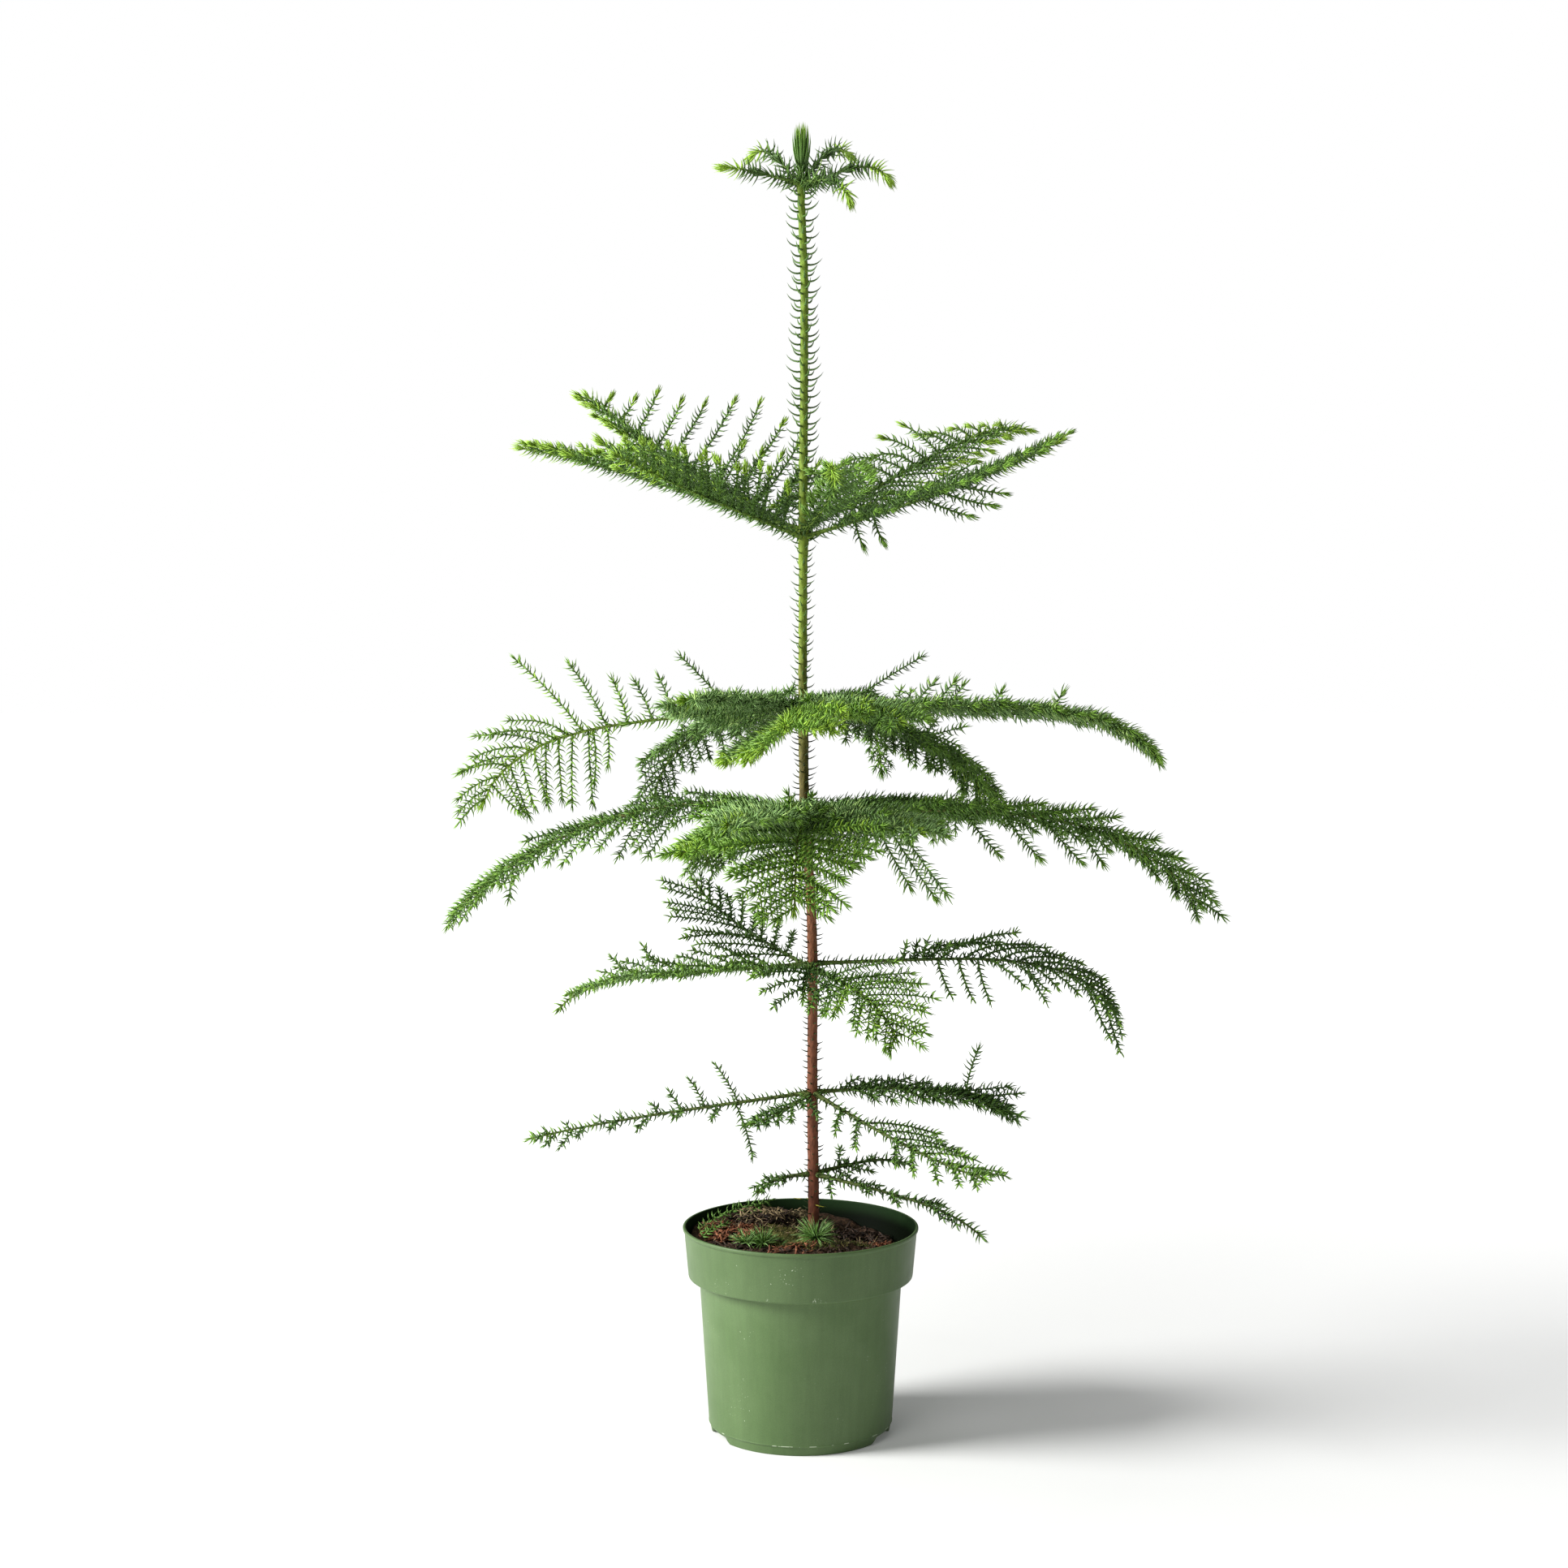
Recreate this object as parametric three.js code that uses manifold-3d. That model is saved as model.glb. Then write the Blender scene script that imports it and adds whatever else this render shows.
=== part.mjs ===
// A potted Norfolk Island pine, about 1.1 m tall.
// Millimetres, +Z up. The origin is the centre of the pot's flat underside, and -Y is the front.
//
// The plant is a trunk that stays whole to its tip, boughs in whorls round it, and one mass of
// foliage for each bough. A mass grows from one stem by a seeded rule: paired side twigs in a
// herringbone, each a toothed blade that stands for a spray of needles.

import * as THREE from "three";
import Module from "manifold-3d";
import { mergeVertices } from "three/addons/utils/BufferGeometryUtils.js";

const wasm = await Module();
wasm.setup();

// ---------------------------------------------------------------- driving dimensions

const GAP = 0.3; // clearance between pieces that touch
const DEGREE = Math.PI / 180;

const POT = {
  height: 178,
  rimRadius: 101.5,
  lipHeight: 3.5,
  bandTopRadius: 100.2,
  bandFootRadius: 96.8,
  bandHeight: 42.5,
  stepHeight: 2.5,
  bodyTopRadius: 87.2,
  bodyFootRadius: 79.2,
  footRadius: 75.5,
  footRingWidth: 3,
  footHeight: 4.5,
  padRadius: 40,
  floorTop: 7.5,
  wall: 2.4,
  segments: 26,
};
const NOTCH = { turns: [-66, 66, 114, 246], width: 36, height: 4.2, depth: 14 };

// heights of the inner wall's ledge, where it meets the band's wall and the body's
const LEDGE = { high: POT.height - POT.bandHeight + 1.8, low: POT.height - POT.bandHeight - POT.stepHeight + 1.4 };

// The soil rises from its height at the trunk, and has a hollow round one compass angle.
const SOIL = {
  height: 162,
  rise: 8,
  bump: 2,
  hollow: 18,
  hollowTurn: 25,
  hollowHalf: 45,
  segments: 20,
  padRadius: 18,
  trunkX: 11.5,
};

// height above the origin, sideways lean and radius of the trunk
const TRUNK = [
  [SOIL.height + GAP, 11.8, 6.4],
  [172, 11.7, 5.2],
  [190, 11.4, 4.7],
  [227, 10.8, 4.6],
  [294, 10.1, 4.5],
  [330, 10.1, 4.2],
  [403, 10.4, 4.3],
  [457, 9.0, 4.0],
  [500, 6.0, 4.0],
  [536, 3.4, 4.5],
  [560, 2.7, 3.9],
  [623, 2.0, 4.4],
  [645, 1.6, 3.5],
  [740, 1.9, 3.4],
  [772, 2.0, 4.4],
  [795, 1.9, 3.5],
  [900, 2.7, 3.2],
  [985, 2.9, 3.1],
  [1050, 0.2, 2.9],
  [1062, 0, 3.2],
  [1075, 0, 2.0],
  [1092, 0, 1.2],
];
const TRUNK_SIDES = 8;

const AXIS_STEPS = 16; // straight steps that one bough's curve is worked out in
const LIMB = { root: 1.9, tip: 1.45, sides: 5, step: 32 };
const STEM = { root: 1.8, tip: 1.3, sides: 3, step: 45 };
const BLADE = { halfWidth: 7.5, halfThick: 1.7, root: 0.6, valley: 0.42, sunk: 0.3, spare: 0.5, toothed: 56 };
const TWIG = { apart: 43, narrow: 22, shortest: 28 };
const NEEDLE = { length: 13, root: 1.1, angle: 48, count: 10 };

// What a bough is given when its row doesn't say otherwise. Angles are in degrees, and a pair holds
// one value for each side of the bough, the counter-clockwise side first.
//   turn: compass angle of the bough, counter-clockwise from +X   reach: its length
//   rise, fall: slope at its root and tip   bend: how late the slope changes
//   sweep: how far it turns sideways   roll: tilt of the frond about the bough
//   bare: length before the first twig   spacing: length from twig to twig   keep: share that grow
//   twig: longest side twig   fade: how much shorter the twigs get towards the tip
//   angle, lift: how far the twigs lean from the bough and stand up from the frond
//   curl, hook: how far they arch upwards and towards the tip
//   lone: single twigs as [share of the reach, side, length, lift, angle]
//   limb: share of the reach that is bare limb, 0 where the mass meets the trunk itself
const USUAL = {
  bend: 2, sweep: 0, roll: 0, bare: 30, spacing: 13, keep: 1, twig: 62, fade: 0.68, angle: 62, lift: 12,
  curl: -0.2, hook: 0.12, lone: [], limb: 0,
};

const WHORLS = [
  {
    name: "w0", height: 1062, stagger: 2.4, colour: 0x6f9a35,
    boughs: [
      { side: "left", turn: 190, reach: 66, rise: 13, fall: -2, bend: 4, twig: 0 },
      { side: "back_left", turn: 140, reach: 70, rise: 50, fall: -40, bend: 3.6, twig: 0 },
      { side: "back_right", turn: 50, reach: 80, rise: 43, fall: -44, bend: 3.5, twig: 0 },
      { side: "right", turn: 352, reach: 81, rise: 24, fall: -65, bend: 3.5, twig: 0 },
      { side: "front_right", turn: 310, reach: 70, rise: 2, fall: -70, bend: 2.4, twig: 0 },
    ],
  },
  {
    name: "w1", height: 772, stagger: 3, colour: 0x55802f,
    boughs: [
      { side: "left", turn: 172, reach: 256, rise: 18, fall: 9, bend: 4, lift: [14, 26], curl: -0.05,
        fade: 0.85, lone: [[0.2, 1, 42, 66, 78], [0.3, 1, 40, 64, 74], [0.4, 1, 38, 60, 72]], limb: 0.17 },
      { side: "back_left", turn: 142, reach: 280, rise: 26, fall: 32, twig: [56, 90], lift: [8, 52],
        curl: [-0.05, 0.05], spacing: [13, 25], angle: [62, 97], fade: [0.68, 1.15],
        lone: [[0.12, 1, 56, 64, 84], [0.16, 1, 60, 52, 92], [0.22, 1, 54, 60, 88], [0.29, 1, 48, 58, 86],
               [0.36, 1, 44, 58, 84]], limb: 0.16 },
      { side: "back_right", turn: 42, reach: 282, rise: 24, fall: 2, bend: 5, twig: [92, 50], lift: [52, 0],
        curl: [-0.42, -0.25], spacing: [15, 12], angle: [118, 62], fade: [1.1, 0.68], limb: 0.16 },
      { side: "right", turn: 350, reach: 232, rise: 17, fall: 29, bend: 2.7, lift: [26, 14],
        curl: [-0.12, -0.2], lone: [[0.2, 1, 24, -82, 96], [0.27, 1, 25, -80, 94], [0.46, 1, 44, -62, 48],
               [0.53, 1, 46, -58, 44], [0.6, 1, 40, -52, 42]], limb: 0.18 },
      { side: "front", turn: 287, reach: 232, rise: 13, fall: 5, sweep: -24, twig: [44, 16], spacing: 17,
        lift: [16, 40], curl: 0.05, angle: 72, lone: [[0.8, 1, 22, 6, 60]], limb: 0.17 },
      { side: "front_left", turn: 228, reach: 230, rise: 14, fall: 19, bend: 3, lift: [34, 30], curl: 0,
        limb: 0.18 },
    ],
  },
  {
    name: "w2", height: 623, stagger: 3, colour: 0x4c7a32,
    boughs: [
      { side: "left", turn: 180, reach: 300, rise: -5, fall: -74, bend: 4.5, roll: 88, twig: [70, 86], lift: 0,
        curl: [-0.1, -0.32], spacing: [12, 12], angle: [88, 72], hook: [-0.05, 0.3], fade: [0.6, 0.75],
        bare: [188, 198], lone: [[0.37, 1, 38, 0, 84], [0.43, 1, 36, 0, 80], [0.5, 1, 40, 0, 88],
               [0.56, 1, 60, 0, 76], [0.63, 1, 80, 0, 70], [0.56, -1, 34, 10, 92], [0.6, -1, 46, 0, 88]],
        limb: 0.2 },
      { side: "back_left", turn: 126, reach: 262, rise: -6, fall: -74, bend: 3.5, curl: -0.35,
        lone: [[0.36, -1, 76, 56, 80], [0.44, 1, 54, 32, 92]], limb: 0.18 },
      { side: "back", turn: 71, reach: 264, rise: 3, fall: -82, bend: 3, twig: [34, 40], lift: [12, 14],
        curl: [-0.3, -0.1], fade: 0.8, lone: [[0.52, 1, 74, 38, 78]] },
      { side: "back_right", turn: 42, reach: 256, rise: -2, fall: -42, bend: 1.2, curl: -0.35,
        lone: [[0.4, -1, 50, 62, 66], [0.42, 1, 40, 62, 60], [0.46, -1, 54, 60, 70], [0.56, 1, 40, 50, 50],
               [0.58, -1, 44, 55, 60]], limb: 0.18 },
      { side: "right", turn: 355, reach: 312, rise: 0, fall: -50, bend: 5, sweep: 8, roll: 14, twig: 42,
        lift: [8, 2], curl: -0.06, angle: 52, lone: [[0.3, -1, 28, 64, 62], [0.36, 1, 26, 70, 60],
               [0.4, -1, 24, 66, 70], [0.52, 1, 17, 50, 80], [0.68, 1, 18, 62, 80]], limb: 0.18 },
      { side: "front_right", turn: 296, reach: 176, rise: 8, fall: -12, bend: 1.5, lift: 16, twig: 60 },
      { side: "front", turn: 265.5, reach: 200, rise: 0, fall: -8, twig: [82, 84], curl: [-0.15, -0.1],
        fade: [0.6, 0.7], lift: [13, -32] },
      { side: "front_left", turn: 238, reach: 184, rise: 9, fall: -2, twig: 56, lift: [10, -24],
        curl: [-0.1, 0] },
    ],
  },
  {
    name: "w3", height: 536, stagger: 3, colour: 0x4a7735,
    boughs: [
      { side: "left", turn: 183, reach: 324, rise: 8, fall: -46, bend: 1.2, lift: [0, 14], curl: [-0.34, -0.2],
        lone: [[0.33, -1, 52, -58, 60], [0.35, -1, 46, -64, 52], [0.44, -1, 42, -60, 62],
               [0.8, -1, 28, -72, 60]], limb: 0.18 },
      { side: "back_left", turn: 120, reach: 196, rise: -6, fall: -56, bend: 3, curl: -0.35, limb: 0.2 },
      { side: "back_right", turn: 52, reach: 250, rise: 2, fall: -14, bend: 1.5, lift: [-14, 12],
        curl: [-0.7, -0.4], spacing: [19, 13], lone: [[0.93, -1, 20, 80, 60]], limb: 0.18 },
      { side: "right", turn: 357, reach: 367, rise: 3, fall: -56, bend: 2.6, sweep: 10, roll: 28, twig: 52,
        lift: [12, 0], curl: -0.1, fade: 0.55, lone: [[0.37, 1, 50, -72, 66], [0.46, 1, 52, -75, 62],
               [0.555, 1, 50, -75, 58], [0.645, 1, 38, -75, 62]], limb: 0.16 },
      { side: "front_right", turn: 302, reach: 176, rise: 0, fall: -8, twig: 60, bare: 18,
        lone: [[0.6, -1, 60, -74, 66], [0.7, -1, 70, -70, 60], [0.8, -1, 66, -72, 52]] },
      { side: "front", turn: 267, reach: 208, rise: 0, fall: -75, bend: 3, twig: [88, 88], angle: 84,
        curl: -0.08, fade: 0.75, lift: 12, bare: 12, lone: [[0.26, 1, 32, 66, 60], [0.33, -1, 34, 68, 56],
               [0.4, 1, 32, 70, 52], [0.47, -1, 30, 72, 50]] },
      { side: "front_left", turn: 254, reach: 228, rise: 3, fall: -3, twig: 50, bare: 14 },
      { side: "left_front", turn: 233, reach: 170, rise: 0, fall: -14, bend: 1, twig: 45 },
    ],
  },
  {
    name: "w4", height: 403, stagger: 2.5, colour: 0x49733a,
    boughs: [
      { side: "left", turn: 183, reach: 226, rise: -4, fall: -54, bend: 7, keep: 0.9, lift: [16, 34],
        curl: [-0.1, -0.15], spacing: [13, 16], fade: [0.95, 1.3], lone: [[0.58, 1, 30, 62, 74],
               [0.7, 1, 24, 66, 70]], limb: 0.24 },
      { side: "back_left", turn: 142, reach: 152, rise: 20, fall: 48, bend: 3, lift: [4, 18], twig: [80, 58] },
      { side: "right", turn: 2, reach: 278, rise: 2, fall: -60, bend: 4.2, twig: [86, 44], curl: [-0.36, -0.3],
        lift: [48, -14], spacing: [16, 16], angle: [50, 56], hook: [0.35, 0.1], fade: [1.05, 0.4],
        bare: [84, 150], lone: [[0.28, 1, 18, 60, 90], [0.34, 1, 20, 66, 86], [0.31, -1, 18, 50, 80],
               [0.37, -1, 20, 40, 76], [0.4, 1, 18, 56, 80], [0.385, 1, 34, -82, 78], [0.45, 1, 36, -82, 78],
               [0.51, 1, 38, -82, 80], [0.66, 1, 36, -76, 62], [0.86, 1, 48, -82, 44], [0.93, 1, 46, -82, 40]],
        limb: 0.24 },
      { side: "front_right", turn: 302, reach: 140, rise: -6, fall: -50, bend: 2.4, twig: [74, 58],
        curl: [-0.12, -0.3], lift: [28, 8], fade: 0.8, spacing: 17 },
      { side: "front", turn: 262, reach: 70, rise: -8, fall: -40, twig: [36, 66], lift: [10, 24], bare: 14 },
    ],
  },
  {
    name: "w5", height: 294, stagger: 0, colour: 0x4c7440,
    boughs: [
      { side: "left", turn: 180, reach: 248, rise: -8, fall: -14, bend: 3, twig: [34, 40], lift: [-8, 66],
        curl: 0, spacing: [30, 24], angle: [92, 80], fade: [0.8, 3.2], bare: [90, 60],
        lone: [[0.27, -1, 52, -80, 108], [0.84, -1, 20, -40, 58], [0.9, 1, 18, -50, 50]], limb: 0.22 },
      { side: "right", turn: 5, reach: 176, rise: 3, fall: -30, bend: 2.4, keep: 0.95, twig: [38, 34],
        lift: [16, 4], fade: 0.5, lone: [[0.76, -1, 42, 86, 98], [0.7, -1, 52, 24, 30], [0.82, -1, 40, 36, 34],
               [0.78, 1, 44, -12, 24]] },
      { side: "front_right", turn: 318, reach: 196, rise: -18, fall: -4, bend: 2.5, keep: 0.85, twig: [64, 42],
        lift: [16, 0], spacing: [17, 21] },
      { side: "front", turn: 224, reach: 74, rise: -20, fall: -2, twig: 26, bare: 16, keep: 0.9,
        lone: [[0.12, -1, 34, -10, 66]] },
    ],
  },
  {
    name: "w6", height: 223, stagger: 0, colour: 0x4c7440,
    boughs: [
      { side: "left", turn: 195, reach: 54, rise: -2, fall: -50, bend: 2.5, twig: 22, bare: 24, keep: 0.8 },
      { side: "right", turn: 335, reach: 163, rise: -8, fall: -40, bend: 4, twig: 28, keep: 0.45,
        lone: [[0.1, 1, 20, -30, 70], [0.14, -1, 22, 36, 64]] },
      { side: "back_right", turn: 25, reach: 98, rise: 8, fall: -30, bend: 3, twig: 20, keep: 0.45,
        lone: [[0.2, 1, 22, -40, 62], [0.26, -1, 20, 40, 70], [0.32, 1, 24, -12, 60]] },
    ],
  },
];

const COLOUR = { pot: 0x5c7a4c, soil: 0x4a3526, trunk: 0x8a5a3e, limb: 0x6b6a35, tuft: 0x86ad3a };

// ---------------------------------------------------------------- solids and meshes

/** A closed solid from points and triangles, with shared points merged and flat triangles dropped. */
function solidFrom(geometry) {
  const bare = geometry.clone();
  bare.deleteAttribute("normal");
  bare.deleteAttribute("uv");
  const merged = mergeVertices(bare, 1e-4);
  const index = merged.index.array;
  const triangles = [];
  for (let i = 0; i < index.length; i += 3) {
    const [a, b, c] = [index[i], index[i + 1], index[i + 2]];
    if (a !== b && b !== c && c !== a) {
      triangles.push(a, b, c);
    }
  }
  return new wasm.Manifold(
    new wasm.Mesh({
      numProp: 3,
      vertProperties: new Float32Array(merged.attributes.position.array),
      triVerts: new Uint32Array(triangles),
    }),
  );
}

function geometryOf(points, triangles) {
  const geometry = new THREE.BufferGeometry();
  const numbers = points.flatMap((point) => [point.x, point.y, point.z]);
  geometry.setAttribute("position", new THREE.Float32BufferAttribute(numbers, 3));
  geometry.setIndex(triangles);
  return geometry;
}

function meshOf(name, solid, colour, roughness) {
  const { vertProperties, triVerts } = solid.getMesh();
  const geometry = new THREE.BufferGeometry();
  geometry.setAttribute("position", new THREE.BufferAttribute(new Float32Array(vertProperties), 3));
  geometry.setIndex(new THREE.BufferAttribute(new Uint32Array(triVerts), 1));
  geometry.computeVertexNormals();
  const material = new THREE.MeshStandardMaterial({ color: colour, roughness, metalness: 0 });
  const mesh = new THREE.Mesh(geometry, material);
  mesh.name = name;
  return mesh;
}

/** The largest of a solid's separate pieces, so that no loose scrap stays. */
function largestPiece(solid) {
  const pieces = solid.decompose();
  return pieces.reduce((best, piece) => (piece.volume() > best.volume() ? piece : best));
}

/** A point on a circle round a centre, at a share of a full turn from across towards up. */
function onCircle(centre, across, up, radius, share) {
  const angle = share * 2 * Math.PI;
  const point = centre.clone().addScaledVector(across, radius * Math.cos(angle));
  return point.addScaledVector(up, radius * Math.sin(angle));
}

/** A closed tube of a few flat sides along a list of points, with a radius at each. */
function tube(points, radii, sides, firstNormal) {
  const vertices = [];
  const triangles = [];
  points.forEach((point, i) => {
    const before = points[Math.max(i - 1, 0)];
    const after = points[Math.min(i + 1, points.length - 1)];
    const along = i === 0 && firstNormal ? firstNormal : after.clone().sub(before).normalize();
    const reference = Math.abs(along.z) > 0.9 ? new THREE.Vector3(1, 0, 0) : new THREE.Vector3(0, 0, 1);
    const across = new THREE.Vector3().crossVectors(along, reference).normalize();
    const up = new THREE.Vector3().crossVectors(across, along);
    for (let k = 0; k < sides; k += 1) {
      vertices.push(onCircle(point, across, up, radii[i], k / sides + 0.25));
    }
  });
  for (let i = 0; i + 1 < points.length; i += 1) {
    for (let k = 0; k < sides; k += 1) {
      const [a, b] = [i * sides + k, i * sides + ((k + 1) % sides)];
      triangles.push(a, b, a + sides, b, b + sides, a + sides);
    }
  }
  const last = (points.length - 1) * sides;
  for (let k = 1; k + 1 < sides; k += 1) {
    triangles.push(0, k + 1, k, last, last + k, last + k + 1);
  }
  return outward(geometryOf(vertices, triangles));
}

/** The solid of a geometry, turned inside out first where its faces point in. */
function outward(geometry) {
  const solid = solidFrom(geometry);
  if (solid.volume() > 0) {
    return solid;
  }
  const index = geometry.index.array;
  for (let i = 0; i < index.length; i += 3) {
    [index[i], index[i + 1]] = [index[i + 1], index[i]];
  }
  return solidFrom(geometry);
}

// ---------------------------------------------------------------- seeded growth

/** A repeatable number from -1 to 1. */
function chance(seed, index, kind) {
  const value = Math.sin(seed * 12.9898 + index * 78.233 + kind * 37.719) * 43758.5453;
  return (value - Math.floor(value)) * 2 - 1;
}

function trunkAt(height) {
  const upper = Math.max(1, TRUNK.findIndex((row) => row[0] >= height));
  const [low, high] = [TRUNK[upper - 1], TRUNK[upper]];
  const share = (height - low[0]) / (high[0] - low[0]);
  return { x: low[1] + (high[1] - low[1]) * share, radius: low[2] + (high[2] - low[2]) * share };
}

/** The points of a bough's axis, from the trunk's own axis to the tip. */
function boughAxis(bough) {
  const point = new THREE.Vector3(trunkAt(bough.height).x, 0, bough.height);
  const points = [point.clone()];
  for (let i = 0; i < AXIS_STEPS; i += 1) {
    const share = (i + 0.5) / AXIS_STEPS;
    const slope = (bough.rise + (bough.fall - bough.rise) * share ** bough.bend) * DEGREE;
    const turn = (bough.turn + bough.sweep * share) * DEGREE;
    const step = bough.reach / AXIS_STEPS;
    point.x += step * Math.cos(slope) * Math.cos(turn);
    point.y += step * Math.cos(slope) * Math.sin(turn);
    point.z += step * Math.sin(slope);
    points.push(point.clone());
  }
  return points;
}

function axisPoint(axis, share) {
  const place = Math.min(Math.max(share, 0), 0.9999) * AXIS_STEPS;
  const i = Math.floor(place);
  return axis[i].clone().lerp(axis[i + 1], place - i);
}

/** Directions along, across and out of a frond at a place on its axis. */
function axisFrame(axis, share, roll) {
  const i = Math.floor(Math.min(Math.max(share, 0), 0.9999) * AXIS_STEPS);
  const along = axis[i + 1].clone().sub(axis[i]).normalize();
  const level = new THREE.Vector3().crossVectors(along, new THREE.Vector3(0, 0, 1)).normalize();
  const up = new THREE.Vector3().crossVectors(level, along);
  const turn = roll * DEGREE;
  const across = level.clone().multiplyScalar(Math.cos(turn)).addScaledVector(up, Math.sin(turn));
  const out = up.clone().multiplyScalar(Math.cos(turn)).addScaledVector(level, -Math.sin(turn));
  return { along, across, out };
}

/** A bough's values for one of its sides, each pair narrowed to that side's own. */
function oneSide(bough, side) {
  const pick = ([key, value]) => [key, Array.isArray(value) && key !== "lone" ? value[(side + 1) / 2] : value];
  return Object.fromEntries(Object.entries(bough).map(pick));
}

/** One side twig, as the start, length, direction and arch of its curve. */
function sideTwig(bough, axis, twig) {
  const { share, side, angle, lift, curl, hook } = twig;
  const { along, across, out } = axisFrame(axis, share, bough.roll * Math.min(1, 0.3 + 1.4 * share));
  const spread = Math.sin(angle * DEGREE);
  const heading = along.clone().multiplyScalar(Math.cos(angle * DEGREE));
  heading.addScaledVector(across, side * Math.cos(lift * DEGREE) * spread);
  heading.addScaledVector(out, Math.sin(lift * DEGREE) * spread);
  const arch = along.clone().multiplyScalar(hook);
  arch.z += curl;
  return { ...twig, start: axisPoint(axis, share), heading, arch, out };
}

/** Every side twig of a frond: a row down each side, then the lone ones. */
function frondTwigs(bough, axis) {
  const twigs = [];
  for (const side of [-1, 1]) {
    const own = oneSide(bough, side);
    const every = Math.max(1, Math.round(TWIG.apart / own.spacing));
    for (let i = 0; i <= Math.floor((own.reach - own.bare - 6) / own.spacing); i += 1) {
      const roam = (kind) => chance(own.seed, i, kind + side);
      const share = (own.bare + own.spacing * (i + 0.22 * side + 0.18 * roam(1))) / own.reach;
      if (share > 0.985 || roam(5) > own.keep * 2 - 1) {
        continue;
      }
      const profile = Math.min(1, 0.55 + 1.6 * share) * Math.max(0.15, 1 - own.fade * share ** 2.4);
      twigs.push(sideTwig(own, axis, {
        share,
        side,
        order: i,
        chosen: (i + (side > 0 ? 1 : 0)) % every === 0,
        length: (own.twig * profile * (1 + 0.12 * roam(9))) / (1 + 0.35 * Math.abs(own.curl)),
        angle: own.angle - TWIG.narrow * share + 6 * roam(13),
        lift: own.lift + 8 * roam(17),
        curl: own.curl * (1 + 0.3 * roam(21)),
        hook: own.hook,
      }));
    }
  }
  bough.lone.forEach(([share, side, length, lift, angle], i) => {
    const lone = { share, side, order: 90 + i, chosen: true, length, angle, lift, curl: 0, hook: 0.15 };
    twigs.push(sideTwig(bough, axis, lone));
  });
  return twigs;
}

function twigPoint(twig, share) {
  return twig.start
    .clone()
    .addScaledVector(twig.heading, twig.length * share)
    .addScaledVector(twig.arch, twig.length * share * share);
}

/**
 * A spray of needles as one toothed blade: a lozenge section along a twig's curve, with its two
 * edges cut into teeth that point forward. Its root is sunk into the stem that carries it.
 */
function blade(twig, tilt, spare) {
  const teeth = twig.length > BLADE.toothed ? 3 : 2;
  const width = Math.min(BLADE.halfWidth, twig.length * 0.3) + spare;
  const thick = BLADE.halfThick + spare;
  const frameAt = (share) => {
    const along = twig.heading.clone().addScaledVector(twig.arch, 2 * share).normalize();
    const flat = new THREE.Vector3().crossVectors(along, twig.out).normalize();
    const proud = new THREE.Vector3().crossVectors(flat, along);
    const wide = flat.clone().multiplyScalar(Math.cos(tilt)).addScaledVector(proud, Math.sin(tilt));
    return { wide, deep: proud.multiplyScalar(Math.cos(tilt)).addScaledVector(flat, -Math.sin(tilt)) };
  };
  const edge = (share, wide) => twigPoint(twig, share).addScaledVector(frameAt(share).wide, wide);
  const ridge = (share, deep) => twigPoint(twig, share).addScaledVector(frameAt(share).deep, deep);
  const sunk = -BLADE.sunk / twig.length;
  const rims = [-1, 1].map((side) => {
    const rim = [edge(sunk, side * BLADE.root)];
    for (let k = 0; k < teeth; k += 1) {
      rim.push(edge((k + 0.82) / (teeth + 0.35), side * width * (1 - 0.12 * k)));
      if (k + 1 < teeth) {
        rim.push(edge((k + 0.95) / (teeth + 0.35), side * width * BLADE.valley));
      }
    }
    return rim;
  });
  const points = [...rims[0], edge(1, 0), ...rims[1].reverse()];
  const count = points.length;
  points.push(ridge(sunk, BLADE.root), ridge(0.45, thick), ridge(sunk, -BLADE.root), ridge(0.45, -thick));
  const triangles = [];
  for (const [rootRidge, midRidge, flip] of [[count, count + 1, false], [count + 2, count + 3, true]]) {
    const face = (a, b, c) => triangles.push(...(flip ? [a, c, b] : [a, b, c]));
    face(0, 1, rootRidge);
    face(1, midRidge, rootRidge);
    for (let k = 1; k + 2 < count; k += 1) {
      face(k, k + 1, midRidge);
    }
    face(count - 2, rootRidge, midRidge);
    face(count - 2, count - 1, rootRidge);
  }
  triangles.push(0, count, count + 2, count - 1, count + 2, count);
  return outward(geometryOf(points, triangles));
}

/** One stout needle, a three-sided spike with its root sunk into a stem. */
function needle(start, heading, length, spare) {
  const across = new THREE.Vector3().crossVectors(heading, new THREE.Vector3(0.3, 0.5, 0.8)).normalize();
  const up = new THREE.Vector3().crossVectors(across, heading);
  const points = [0, 1, 2].map((k) => onCircle(start, across, up, NEEDLE.root + spare, k / 3));
  points.push(start.clone().addScaledVector(heading, length + spare));
  return outward(geometryOf(points, [0, 1, 2, 0, 3, 1, 1, 3, 2, 2, 3, 0]));
}

// ---------------------------------------------------------------- pot and soil

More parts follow.
